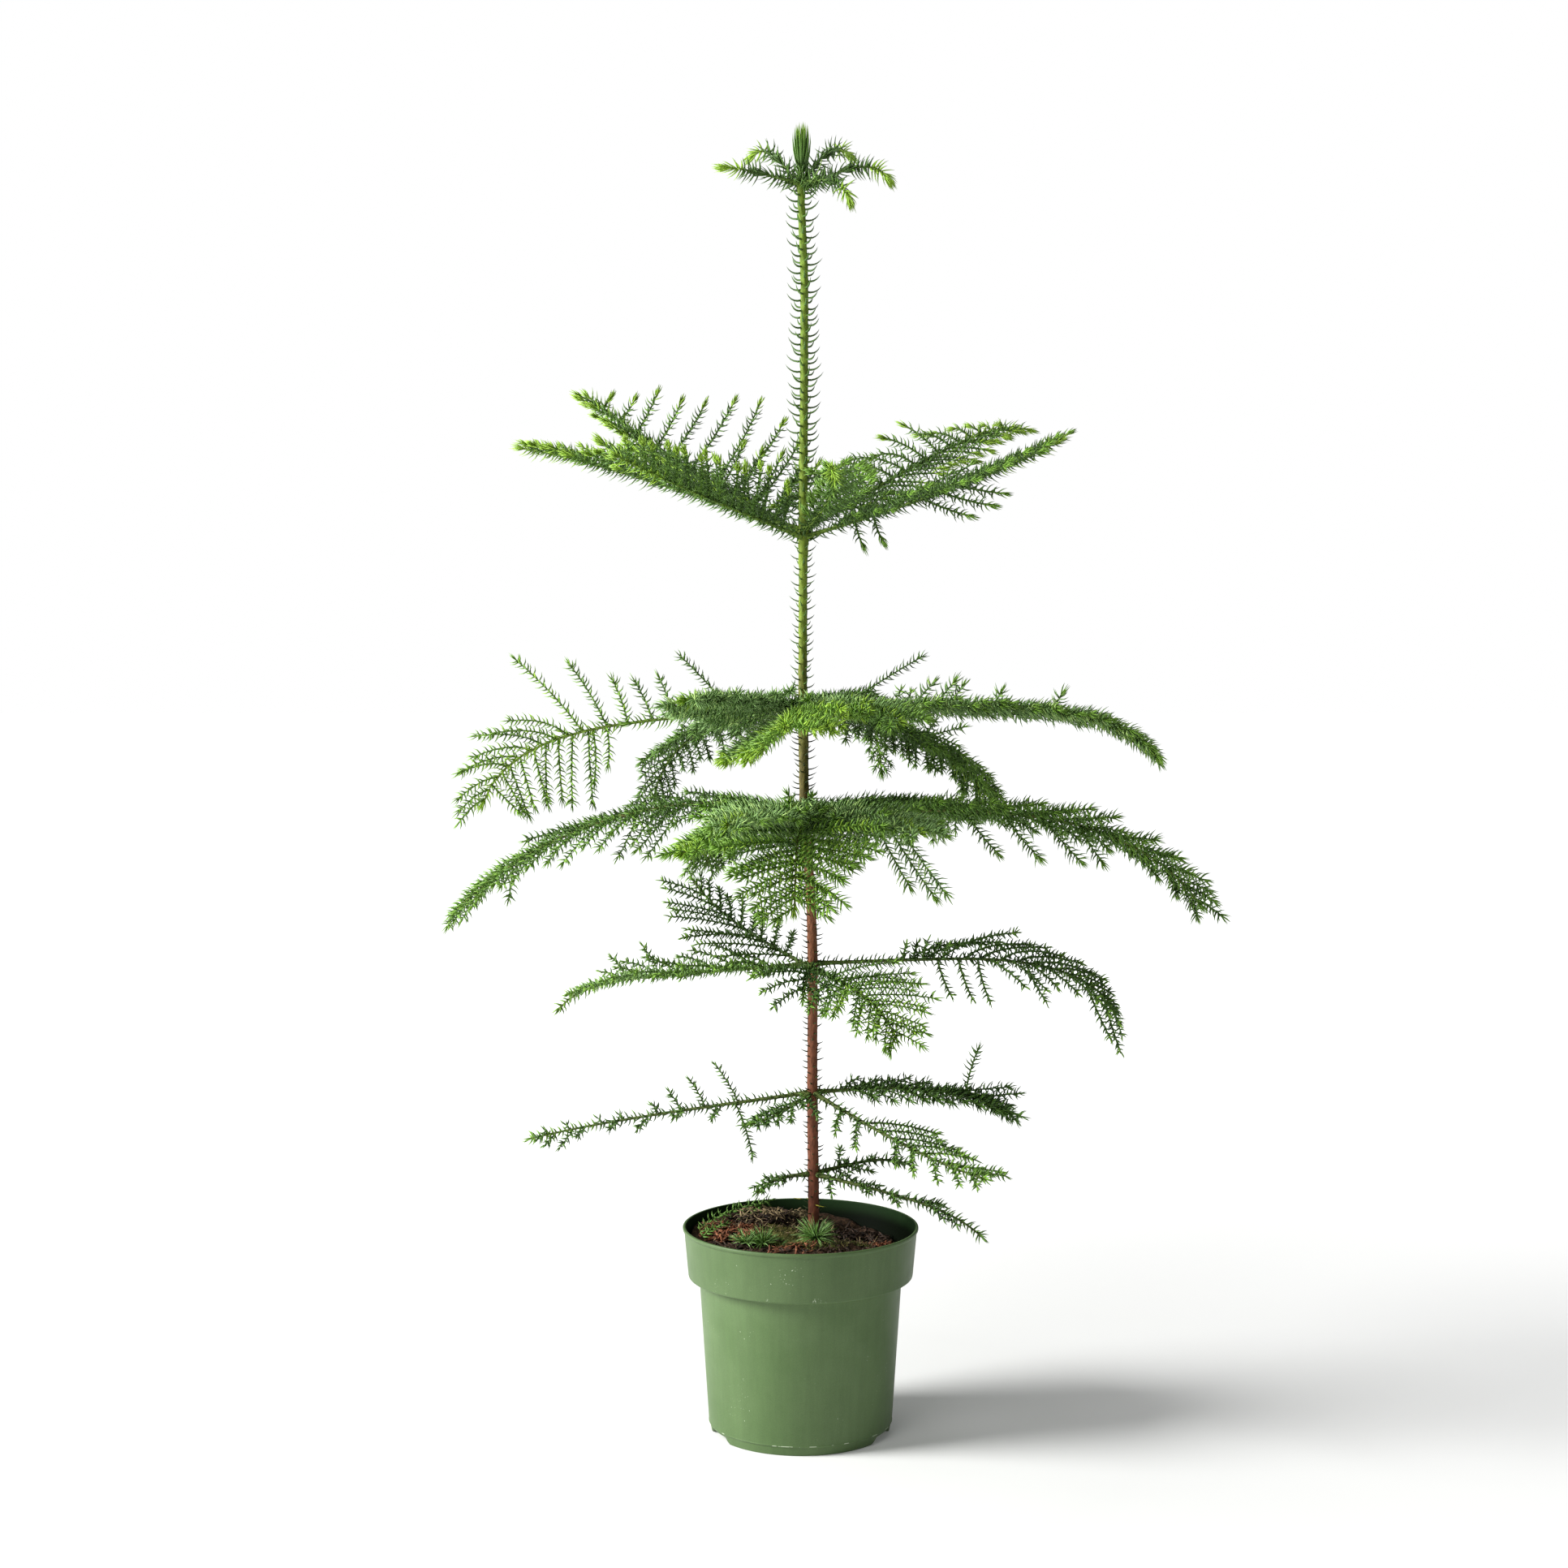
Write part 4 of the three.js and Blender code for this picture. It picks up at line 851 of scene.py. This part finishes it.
# The trunk's own needles from the top down: kind, highest and lowest, slot, tint, how far they stray round
# the trunk and how proud their cushions stand.
TRUNK_NEEDLES = [
    ("leader", 1060, 768, "foliage_top", "deep", 0.2, 0.55),
    ("stem", 768, 628, "foliage_upper", "deep", 0.2, 0.55),
    ("spine", 628, 176, "foliage_lower", "shade", 0.7, 0.3025),
]
# Shares of those needles' full length, at heights up the trunk.
WORN = {"heights": [200, 420, 600], "shares": [0.62, 0.75, 1]}
TRUNK_TINTS = [
    (162, srgb(120, 68, 46)),
    (520, srgb(132, 84, 56)),
    (552, srgb(106, 96, 46)),
    (640, srgb(108, 112, 42)),
    (700, srgb(116, 138, 40)),
    (1060, srgb(104, 130, 36)),
]


def trunk_needle_rows():
    """Each row of TRUNK_NEEDLES, with the height and angle of every needle in place of its kind and span."""
    for kind, high, low, *rest in TRUNK_NEEDLES:
        rule = NEEDLES[kind]
        heights = np.arange(low, high, rule.each)
        yield rule, heights, np.arange(len(heights)) * GOLDEN, *rest


def make_trunk():
    heights = np.arange(TRUNK[0][0], TRUNK_TOP, BARK["step"])
    lean, radii = trunk_at(heights)
    around = np.arange(BARK["sides"]) * 2 * math.pi / BARK["sides"]
    rings = np.repeat(radii[:, None], len(around), 1)
    rise, angle = np.meshgrid(heights, around, indexing="ij")
    for _, stations, turns, *_, proud in trunk_needle_rows():
        for station, turn in zip(stations, turns):
            near = np.abs(heights - station) < BARK["cushion_end"]
            fall = (rise[near] - station + 1.5) / BARK["cushion_long"]
            swing = (angle[near] - turn + math.pi) % (2 * math.pi) - math.pi
            swing = swing * radii[near, None] / BARK["cushion_wide"]
            rings[near] += proud * np.exp(-(fall**2) - swing**2)
    rough = RANDOM.uniform(-1, 1, rings.shape)
    old = np.clip((BARK["old"] - rise) / BARK["old_over"], 0, 1)
    plates = np.sin(rise * 0.9 + 2.2 * np.sin(angle * 2)) * np.cos(angle * 5 + rise * 0.11)
    rings += (0.05 + 0.1 * old) * rough + 0.12 * old * plates
    path = np.stack([lean, np.zeros_like(lean), heights], 1)
    points = (path[:, None] + level(around) * rings[..., None]).reshape(-1, 3)
    make_piece("trunk_bark", points, closed_skin(*rings.shape), trunk_paint(), ["trunk"])


def trunk_paint():
    """Red-brown bark at the foot, olive above the third whorl and yellow-green to the top."""
    paint = Paint("trunk_bark", srgb(140, 90, 62), 0.72, 0.3)
    climb = paint.band("Z", SOIL_HEIGHT, TRUNK_TOP)
    wander = paint.spread(paint.noise(38, stretch=(1, 1, 0.35)), -0.05, 0.05)
    stops = [((height - SOIL_HEIGHT) / (TRUNK_TOP - SOIL_HEIGHT), tint) for height, tint in TRUNK_TINTS]
    fleck = paint.patches(420, 0.42, 0.6, 0.55, stretch=(1, 1, 0.3))
    paint.colour(paint.mix(0.75, paint.ramp(paint.sum(climb, wander), *stops), fleck, "MULTIPLY"))
    paint.bump(paint.noise(650, stretch=(1, 1, 0.35)), 0.35)
    paint.roughness(paint.noise(200), 0.6, 0.85)
    return paint


def dress_trunk(needles):
    """The trunk's own needles: long and curved on the leader, short spines on the old bark."""
    for rule, heights, turns, slot, tint, stray, _ in trunk_needle_rows():
        lean, radii = trunk_at(heights)
        roam = RANDOM.uniform(-1, 1, (4, len(heights)))
        side = level(turns + stray * roam[0])
        starts = np.stack([lean, np.zeros_like(lean), heights], 1) + side * radii[:, None] * 0.8
        headings = leant(UP, side, np.radians(rule.leave + 8 * roam[1]))
        bends = leant(UP, side, np.radians(rule.end + 8 * roam[2]))
        lengths = rule.length * (1 + 0.15 * roam[3]) * np.interp(heights, WORN["heights"], WORN["shares"])
        needles.heaps[slot, tint].add(awls(starts, headings, bends, lengths, rule.width, rule.rings))
    grow_bud(needles)


# The bud: a ruff of short needles, then a tuft of long ones. For each, how many; then for its lowest and its
# highest needle, the height and the angles to the trunk at root and tip; and their length and width.
BUD = [
    {"count": 34, "height": (1062, 1077), "leave": (66, 46), "end": (34, 14), "length": 12, "width": 2.2},
    {"count": 46, "height": (1076, 1092), "leave": (22, 4), "end": (-4, -2), "length": 36, "width": 3.4},
]
BUD_TOP = 1117
# Two pale needles that hang in front of the top whorl: start, heading, bend and length.
HANGING = [
    ((17, -16, 1082), (-0.15, -0.2, -1), (-1, -0.1, -1), 24),
    ((17, -16, 1073), (0.1, -0.2, -1), (0.4, -0.1, -1), 13),
]


def grow_bud(needles):
    """The bud at the top: long needles that stand up close together over a ruff of shorter ones."""
    bud, grown = Heap(), 0
    for group in BUD:
        order = np.arange(group["count"])
        share = order / group["count"]
        height, leave, end = (np.interp(share, [0, 1], group[key]) for key in ("height", "leave", "end"))
        side = level((grown + order) * GOLDEN)
        starts = height[:, None] * UP + side * (2.6 - 1.4 * share)[:, None]
        headings, bends = leant(UP, side, np.radians(leave)), leant(UP, side, np.radians(end))
        lengths = np.minimum(group["length"], (BUD_TOP - height) / 0.99)
        lengths = lengths * (1 + 0.2 * RANDOM.uniform(-1, 0, len(order)))
        bud.add(awls(starts, headings, bends, lengths, group["width"], 4))
        grown += len(order)
    bud.make("bud", bud_paint(), "foliage_top", ["foliage_leader"])
    starts, headings, bends, lengths = (np.array(column, float) for column in zip(*HANGING))
    needles.heaps["foliage_top", "pale"].add(awls(starts, unit(headings), unit(bends), lengths, 1.6, 4))


def bud_paint():
    """Deep green at the bud's foot and yellow-green at the ends of its needles."""
    paint = Paint("needle_bud", TINTS["deep"], 0.45, 0.3)
    climb = paint.band("Z", BUD[0]["height"][0], BUD_TOP - 1)
    streak = paint.spread(paint.noise(260, stretch=(1, 1, 0.2)), -0.25, 0.25)
    tints = (0.3, TINTS["deep"]), (0.7, TINTS["mid"]), (0.95, TINTS["tip"])
    paint.colour(paint.ramp(paint.sum(climb, streak), *tints))
    return paint


# ---------------------------------------------------------------- pot

POT = {
    "height": 178, "rim": 101.5, "lip": 3.5, "band_top": 100.2, "band_foot": 96.8, "band": 42.5, "step": 2.5,
    "body_top": 87.2, "body_foot": 79.2, "foot": 75.5, "foot_ring": 3, "channel": 4.5, "pad": 40,
    "floor_top": 7.5, "wall": 2.4, "seam": 8.6, "oval": 0.0022,
}
NOTCH = {"turns": (-66, 66, 114, -114), "half": 14, "slope": 4, "height": 5.2}
POT_SEGMENTS = 160


def rounded(profile, reach=1.2, steps=4):
    """A profile with each inner corner turned into a short curve."""
    points = [profile[0]]
    for before, corner, after in zip(profile, profile[1:], profile[2:]):
        before, corner, after = (np.array(p, float) for p in (before, corner, after))
        near = [min(reach, 0.45 * np.linalg.norm(p - corner)) for p in (before, after)]
        start = corner + unit(before - corner) * near[0]
        end = corner + unit(after - corner) * near[1]
        for i in range(steps + 1):
            t = i / steps
            points.append(start * (1 - t) ** 2 + corner * 2 * t * (1 - t) + end * t**2)
    points.append(profile[-1])
    return np.array(points, float)


def pot_profile():
    """The pot's section as (radius, height), from the middle of its foot round to its floor."""
    top, wall = POT["height"], POT["wall"]
    band_foot = top - POT["band"]
    body_top = band_foot - POT["step"]
    inner_foot = POT["foot"] - POT["foot_ring"]
    seam = POT["seam"]
    seam_radius = POT["body_foot"] + 0.15
    return rounded([
        (0.01, 0),
        (POT["pad"], 0),
        (POT["pad"] + 2, POT["channel"]),
        (inner_foot, POT["channel"]),
        (inner_foot, 0),
        (POT["foot"] + 1.6, 0),
        (POT["body_foot"] - 0.7, seam - 1.1),
        (seam_radius + 0.35, seam - 0.2),
        (seam_radius, seam + 0.7),
        (POT["body_top"], body_top),
        (POT["band_foot"] - 0.4, band_foot - 0.4),
        (POT["band_foot"], band_foot + 0.8),
        (POT["band_top"], top - POT["lip"]),
        (POT["rim"], top - POT["lip"] + 0.8),
        (POT["rim"], top),
        (POT["rim"] - 2.8, top),
        (POT["band_foot"] - wall, band_foot + 1.8),
        (POT["body_top"] - wall, body_top + 1.4),
        (POT["body_foot"] - wall, POT["floor_top"] + 1),
        (0.01, POT["floor_top"]),
    ])


def notch_lift(turns):
    """How high the foot is cut away at each angle round it, 0 to 1."""
    lift = np.zeros_like(turns)
    for centre in NOTCH["turns"]:
        away = np.abs((turns - centre + 180) % 360 - 180)
        lift = np.maximum(lift, np.clip((NOTCH["half"] - away) / NOTCH["slope"], 0, 1))
    return lift


def make_pot():
    profile = pot_profile()
    turns = np.arange(POT_SEGMENTS) * 360 / POT_SEGMENTS
    lift = notch_lift(turns) * NOTCH["height"]
    angles = np.radians(turns - 90)
    radius, height = profile[:, :1], profile[:, 1:]
    foot = (radius > POT["foot"] - 2 * POT["foot_ring"]) & (height < NOTCH["height"])
    raised = np.where(foot, np.maximum(height, lift), height)
    radius = radius * (1 + POT["oval"] * np.cos(2 * angles + 0.8) * np.clip(height / POT["height"], 0, 1))
    points = np.stack([radius * np.cos(angles), radius * np.sin(angles), raised], 2).reshape(-1, 3)
    make_piece("pot_shell", points, skin(len(profile), POT_SEGMENTS), pot_paint(), ["pot"])


def pot_paint():
    """Satin green plastic, grainy and faintly streaked, rubbed pale at its edges and seam. The band is
    painted a little darker and the inner wall a near-black green: painted shade.
    """
    paint = Paint("pot_green", srgb(92, 118, 72), 0.5, 0.3)
    band_foot = POT["height"] - POT["band"]
    tone = paint.ramp(paint.noise(14, detail=4), (0.3, srgb(86, 112, 66)), (0.7, srgb(97, 122, 77)))
    streak = paint.patches(160, 0.35, 0.65, 0.93, stretch=(1, 1, 0.05))
    grain = paint.patches(1500, 0.3, 0.7, 0.86, detail=2)
    # The band is painted 13 percent darker than the body: painted shade.
    upper = paint.ramp(paint.band("Z", band_foot - 1, band_foot + 1), (0, 1.0), (1, 0.87))
    green = paint.times(tone, streak, grain, upper)
    # pale dots in a few patches, more of them on the band's lower edge, and a broken line on the seam
    dots = paint.times(paint.patches(26, 0.6, 0.68, detail=2), paint.patches(620, 0.68, 0.74, detail=2))
    low_edge = paint.stripe("Z", band_foot - 0.5, band_foot + 3.5)
    scuffs = paint.times(low_edge, paint.patches(38, 0.58, 0.66), paint.patches(700, 0.56, 0.62))
    seam = paint.stripe("Z", POT["seam"] - 0.35, POT["seam"] + 0.25)
    line = paint.times(seam, paint.patches(90, 0.54, 0.57, detail=2))
    pale = paint.mix(1.0, paint.mix(1.0, dots, scuffs, "ADD"), line, "ADD")
    worn = paint.mix(pale, green, srgb(188, 200, 172))
    # Painted shade on the inner wall: near-black green by the soil, less dark towards the rim, with little
    # shine.
    inner_shade_rise = paint.band("Z", SOIL_HEIGHT + 1, POT["height"] - 1)
    inside = paint.ramp(inner_shade_rise, (0.1, srgb(10, 16, 8)), (0.95, srgb(30, 48, 26)))
    inward = paint.inward()
    paint.colour(paint.mix(inward, worn, inside))
    paint.feed("Specular IOR Level", paint.spread(inward, 0.3, 0.03))
    paint.roughness(paint.noise(60), 0.4, 0.56)
    paint.bump(paint.noise(220, detail=4), 0.05)
    return paint


# ---------------------------------------------------------------- soil


def soil_height(x, y):
    """The soil's surface: level round the trunk, lumpy outside it, with a hollow on one side."""
    from_trunk = np.hypot(x - 11.5, y)
    lump = np.sin(x * 0.09 + 1.3) * np.cos(y * 0.11 - 0.6) + 0.5 * np.sin(x * 0.21 - y * 0.17)
    away = (np.degrees(np.arctan2(y, x)) - 25 + 180) % 360 - 180
    rise = 8 - 18 * np.exp(-((away / 45) ** 2))
    share = np.clip((from_trunk - 18) / 25, 0, 1)
    return SOIL_HEIGHT + share * (2 * lump + rise)


def crumbs(x, y):
    """Fine lumps on the soil."""
    wave = np.sin(x * 0.53 + 1.1 * np.sin(y * 0.31)) * np.sin(y * 0.47 + 0.9 * np.sin(x * 0.37))
    fine = np.sin(x * 1.3 + y * 0.9) * np.sin(y * 1.7 - x * 0.6)
    return 1.6 * wave + 0.7 * fine


def inner_radius(height):
    """The pot's inner wall at a height, a little clear of it."""
    band_foot = POT["height"] - POT["band"]
    heights = [POT["floor_top"] + 1, band_foot - POT["step"] + 1.4, band_foot + 1.8, POT["height"]]
    radii = [POT["body_foot"], POT["body_top"], POT["band_foot"], POT["rim"] - 0.4]
    return np.interp(height, heights, radii) - POT["wall"] - 0.5


def make_soil():
    rings, sides = 60, 150
    angles = np.arange(sides) * 2 * math.pi / sides
    share = (np.arange(1, rings + 1) / rings)[:, None]
    radius = share * inner_radius(SOIL_HEIGHT - 14)
    x, y = radius * np.cos(angles), radius * np.sin(angles)
    z = soil_height(x, y) + crumbs(x, y) * np.clip(3 - 3 * share, 0, 1)
    band_foot = POT["height"] - POT["band"]
    levels = np.array([band_foot + 2.1, band_foot - POT["step"] + 1.7, POT["floor_top"] + 1.3])
    skirt = level(angles) * inner_radius(levels)[:, None, None] + levels[:, None, None] * UP
    ends = [[0, 0, SOIL_HEIGHT + 1], [0, 0, levels[-1]]]
    points = np.concatenate([np.stack([x, y, z], 2).reshape(-1, 3), skirt.reshape(-1, 3), ends])
    steps = rings + len(levels)
    wall = skin(steps, sides)[:, [0, 3, 2, 0, 2, 1]].reshape(-1, 3)
    k = np.arange(sides)
    following, last = (k + 1) % sides, (steps - 1) * sides
    lid = np.stack([np.full(sides, steps * sides), k, following], 1)
    base = np.stack([np.full(sides, steps * sides + 1), last + following, last + k], 1)
    make_piece("soil_bed", points, np.concatenate([wall, lid, base]), soil_paint(), ["soil"])


def soil_paint():
    paint = Paint("potting_mix", srgb(52, 36, 26), 0.95, 0.15)
    crumb = paint.noise(330, detail=6)
    colour = paint.ramp(crumb, (0.3, srgb(24, 18, 13)), (0.5, srgb(58, 42, 30)), (0.72, srgb(92, 68, 50)))
    paint.colour(colour)
    paint.bump(crumb, 2.2)
    return paint


# How far out the soil is dressed.
SOIL_EDGE = 88
# Patches of bark shreds: tint, count, middle of the patch, its radius, a shred's length and width, and
# how deep they lie.
SHREDS = [
    ("dark", 620, (0, 0), 84, 9, 3.0, 2),
    ("red", 330, (-60, -4), 26, 9, 2.4, 6),
    ("red", 60, (-8, -62), 22, 8, 2.2, 4),
    ("red", 90, (64, -2), 17, 8, 2.4, 4),
    ("dark", 260, (-32, 50), 26, 10, 3.4, 7),
    ("pale", 150, (-34, 50), 24, 10, 2.2, 11),
    ("pale", 70, (8, 46), 24, 9, 1.8, 7),
    ("pale", 60, (-62, -6), 24, 9, 1.6, 7),
    ("pale", 50, (50, -8), 26, 9, 1.6, 5),
    # This patch is partly real shreds and partly painted shade: it darkens the hollow on the right, which
    # lies in shade.
    ("dark", 240, (58, 32), 28, 9, 3.2, 4),
    ("pale", 90, (-20, 30), 30, 8, 1.6, 8),
]
SHRED_TINTS = {
    "dark": (srgb(30, 22, 16), srgb(72, 52, 38)),
    "red": (srgb(98, 56, 36), srgb(158, 100, 68)),
    "pale": (srgb(96, 80, 58), srgb(156, 136, 100)),
}
# Moss: tint, count of small tufts, middle of the patch and its radius.
MOSS = [
    ("olive", 90, (-16, -22), 26),
    ("olive", 110, (-16, 6), 20),
    ("straw", 90, (-18, 8), 20),
    ("olive", 40, (8, -40), 22),
    ("grey", 60, (0, 44), 26),
    ("straw", 46, (-14, -20), 26),
    ("straw", 26, (30, -20), 24),
    ("olive", 24, (44, -16), 18),
]
MOSS_TINTS = {"olive": srgb(88, 96, 40), "grey": srgb(96, 90, 60), "straw": srgb(166, 158, 92)}
# A tuft of moss: its needles, their length, least and greatest lean from upright in degrees, and width.
MOSS_TUFT = (12, 5.5, 5, 75, 0.7)
# Needle tufts that grow through the soil: place, then the same but for the width.
TUFTS = [
    ((13, -30, 174), 170, 22, 5, 100),
    ((-32, -38, 172), 110, 18, 10, 95),
    ((-46, -38, 172), 80, 16, 10, 90),
    ((-20, -38, 168), 40, 13, 30, 85),
]
# Fallen sprigs, as the points that each lies along.
SPRIGS = [
    [(-86, -8, 174), (-80, 20, 176), (-68, 42, 177), (-56, 56, 178)],
    [(-60, 50, 178), (-48, 62, 180), (-36, 70, 181), (-26, 76, 182)],
    [(-84, -22, 173), (-76, -6, 176), (-64, 8, 177)],
    [(-34, 66, 180), (-40, 56, 178), (-50, 44, 175)],
]
# Dry yellow needles: where each starts and ends.
DRY = [((13, -6, 197), (22, -9, 194)), ((2, 72, 184), (-7, 74, 183)), ((12, 66, 183), (4, 70, 185))]


def patch_places(count, middle, reach):
    """Random places on the soil in a round patch, kept inside the pot."""
    turn = RANDOM.uniform(0, 2 * math.pi, count)
    out = reach * np.sqrt(RANDOM.uniform(0, 1, count))
    x, y = middle[0] + out * np.cos(turn), middle[1] + out * np.sin(turn)
    inside = np.minimum(1, SOIL_EDGE / np.maximum(np.hypot(x, y), 1))
    x, y = x * inside, y * inside
    return np.stack([x, y, soil_height(x, y)], 1)


def shreds(count, middle, reach, length, width, deep):
    """Curled flat shreds of bark that lie over each other on the soil."""
    places = patch_places(count, middle, reach)
    places[:, 2] += RANDOM.uniform(0, deep, count)
    turn = RANDOM.uniform(0, 2 * math.pi, count)
    headings = unit(np.stack([np.cos(turn), np.sin(turn), RANDOM.uniform(-0.4, 0.7, count)], 1))
    curl = RANDOM.uniform(-0.7, 0.7, (count, 3))
    share = np.linspace(-0.5, 0.5, 4)[:, None]
    size = (length * RANDOM.uniform(0.4, 1.3, count))[:, None, None]
    paths = places[:, None] + size * (headings[:, None] * share + curl[:, None] * share**2)
    section = np.array([1, 0.3, 1, 0.3]) * width / 2
    along = np.array([0.5, 1, 0.9, 0.3])[:, None]
    radii = RANDOM.uniform(0.6, 1.2, count)[:, None, None] * along * section
    return tubes(paths, radii, 4)


def tuft(place, count, length, upright, leaning, width):
    """Needles that stand out from one spot on every side above the soil."""
    side = level(np.arange(count) * GOLDEN + RANDOM.uniform(-0.3, 0.3, count))
    lean = np.radians(RANDOM.uniform(upright, leaning, count))
    headings, bends = leant(UP, side, lean), leant(UP, side, lean + 0.5)
    starts = np.asarray(place, float) + side * 1.5 * width
    return awls(starts, headings, bends, length * RANDOM.uniform(0.7, 1.1, count), width, 3)


def dress_soil():
    """Bark shreds, moss, needle tufts, fallen sprigs and dry needles on the soil."""
    heaps = defaultdict(Heap)
    for tint, *patch in SHREDS:
        heaps[f"shreds_{tint}"].add(shreds(*patch))
    for tint, count, middle, reach in MOSS:
        for place in patch_places(count, middle, reach):
            heaps[f"moss_{tint}"].add(tuft(place, *MOSS_TUFT))
    for place, count, *spread in TUFTS:
        # A third of each tuft's needles take the lighter cool tint: partly their own colour, partly painted
        # highlight.
        for tint, part, width in (("dark", count // 2, 1.3), ("light", count // 3, 1.5)):
            heaps[f"tufts_{tint}"].add(tuft(place, part, *spread, width))
    for path in SPRIGS:
        *stand, _, rings = place_needles(smooth_path(path), 0.5, "twig")
        heaps["sprigs"].add(awls(*stand, rings=rings))
    starts, ends = np.array(DRY, float).swapaxes(0, 1)
    away = ends - starts
    lengths = np.linalg.norm(away, axis=1)
    heaps["dry_needles"].add(awls(starts, unit(away), unit(away + UP * 4), lengths, 1.5, 3))
    paints = {f"shreds_{tint}": bark_paint(f"shreds_{tint}", *pair) for tint, pair in SHRED_TINTS.items()}
    paints |= {f"moss_{tint}": needle_paint(f"moss_{tint}", colour) for tint, colour in MOSS_TINTS.items()}
    paints |= {"tufts_dark": NEEDLE_PAINT["mid"], "tufts_light": NEEDLE_PAINT["cool"]}
    paints |= {"sprigs": NEEDLE_PAINT["mid"], "dry_needles": needle_paint("dry", srgb(176, 170, 62))}
    for name, heap in heaps.items():
        heap.make(name, paints[name], "soil", ["soil"])


def smooth_path(corners):
    """A polyline through the corners with short even steps."""
    corners = np.array(corners, float)
    along = np.linspace(0, len(corners) - 1, 8 * len(corners))
    return np.stack([np.interp(along, np.arange(len(corners)), corners[:, k]) for k in range(3)], 1)


# ---------------------------------------------------------------- making the scene

add_stage()
make_pot()
make_soil()
dress_soil()
make_trunk()
grow_crown()

low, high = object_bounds()
sizes = {"cad": [list(CAD_BOX[0]), list(CAD_BOX[1])], "visual": [list(low), list(high)]}
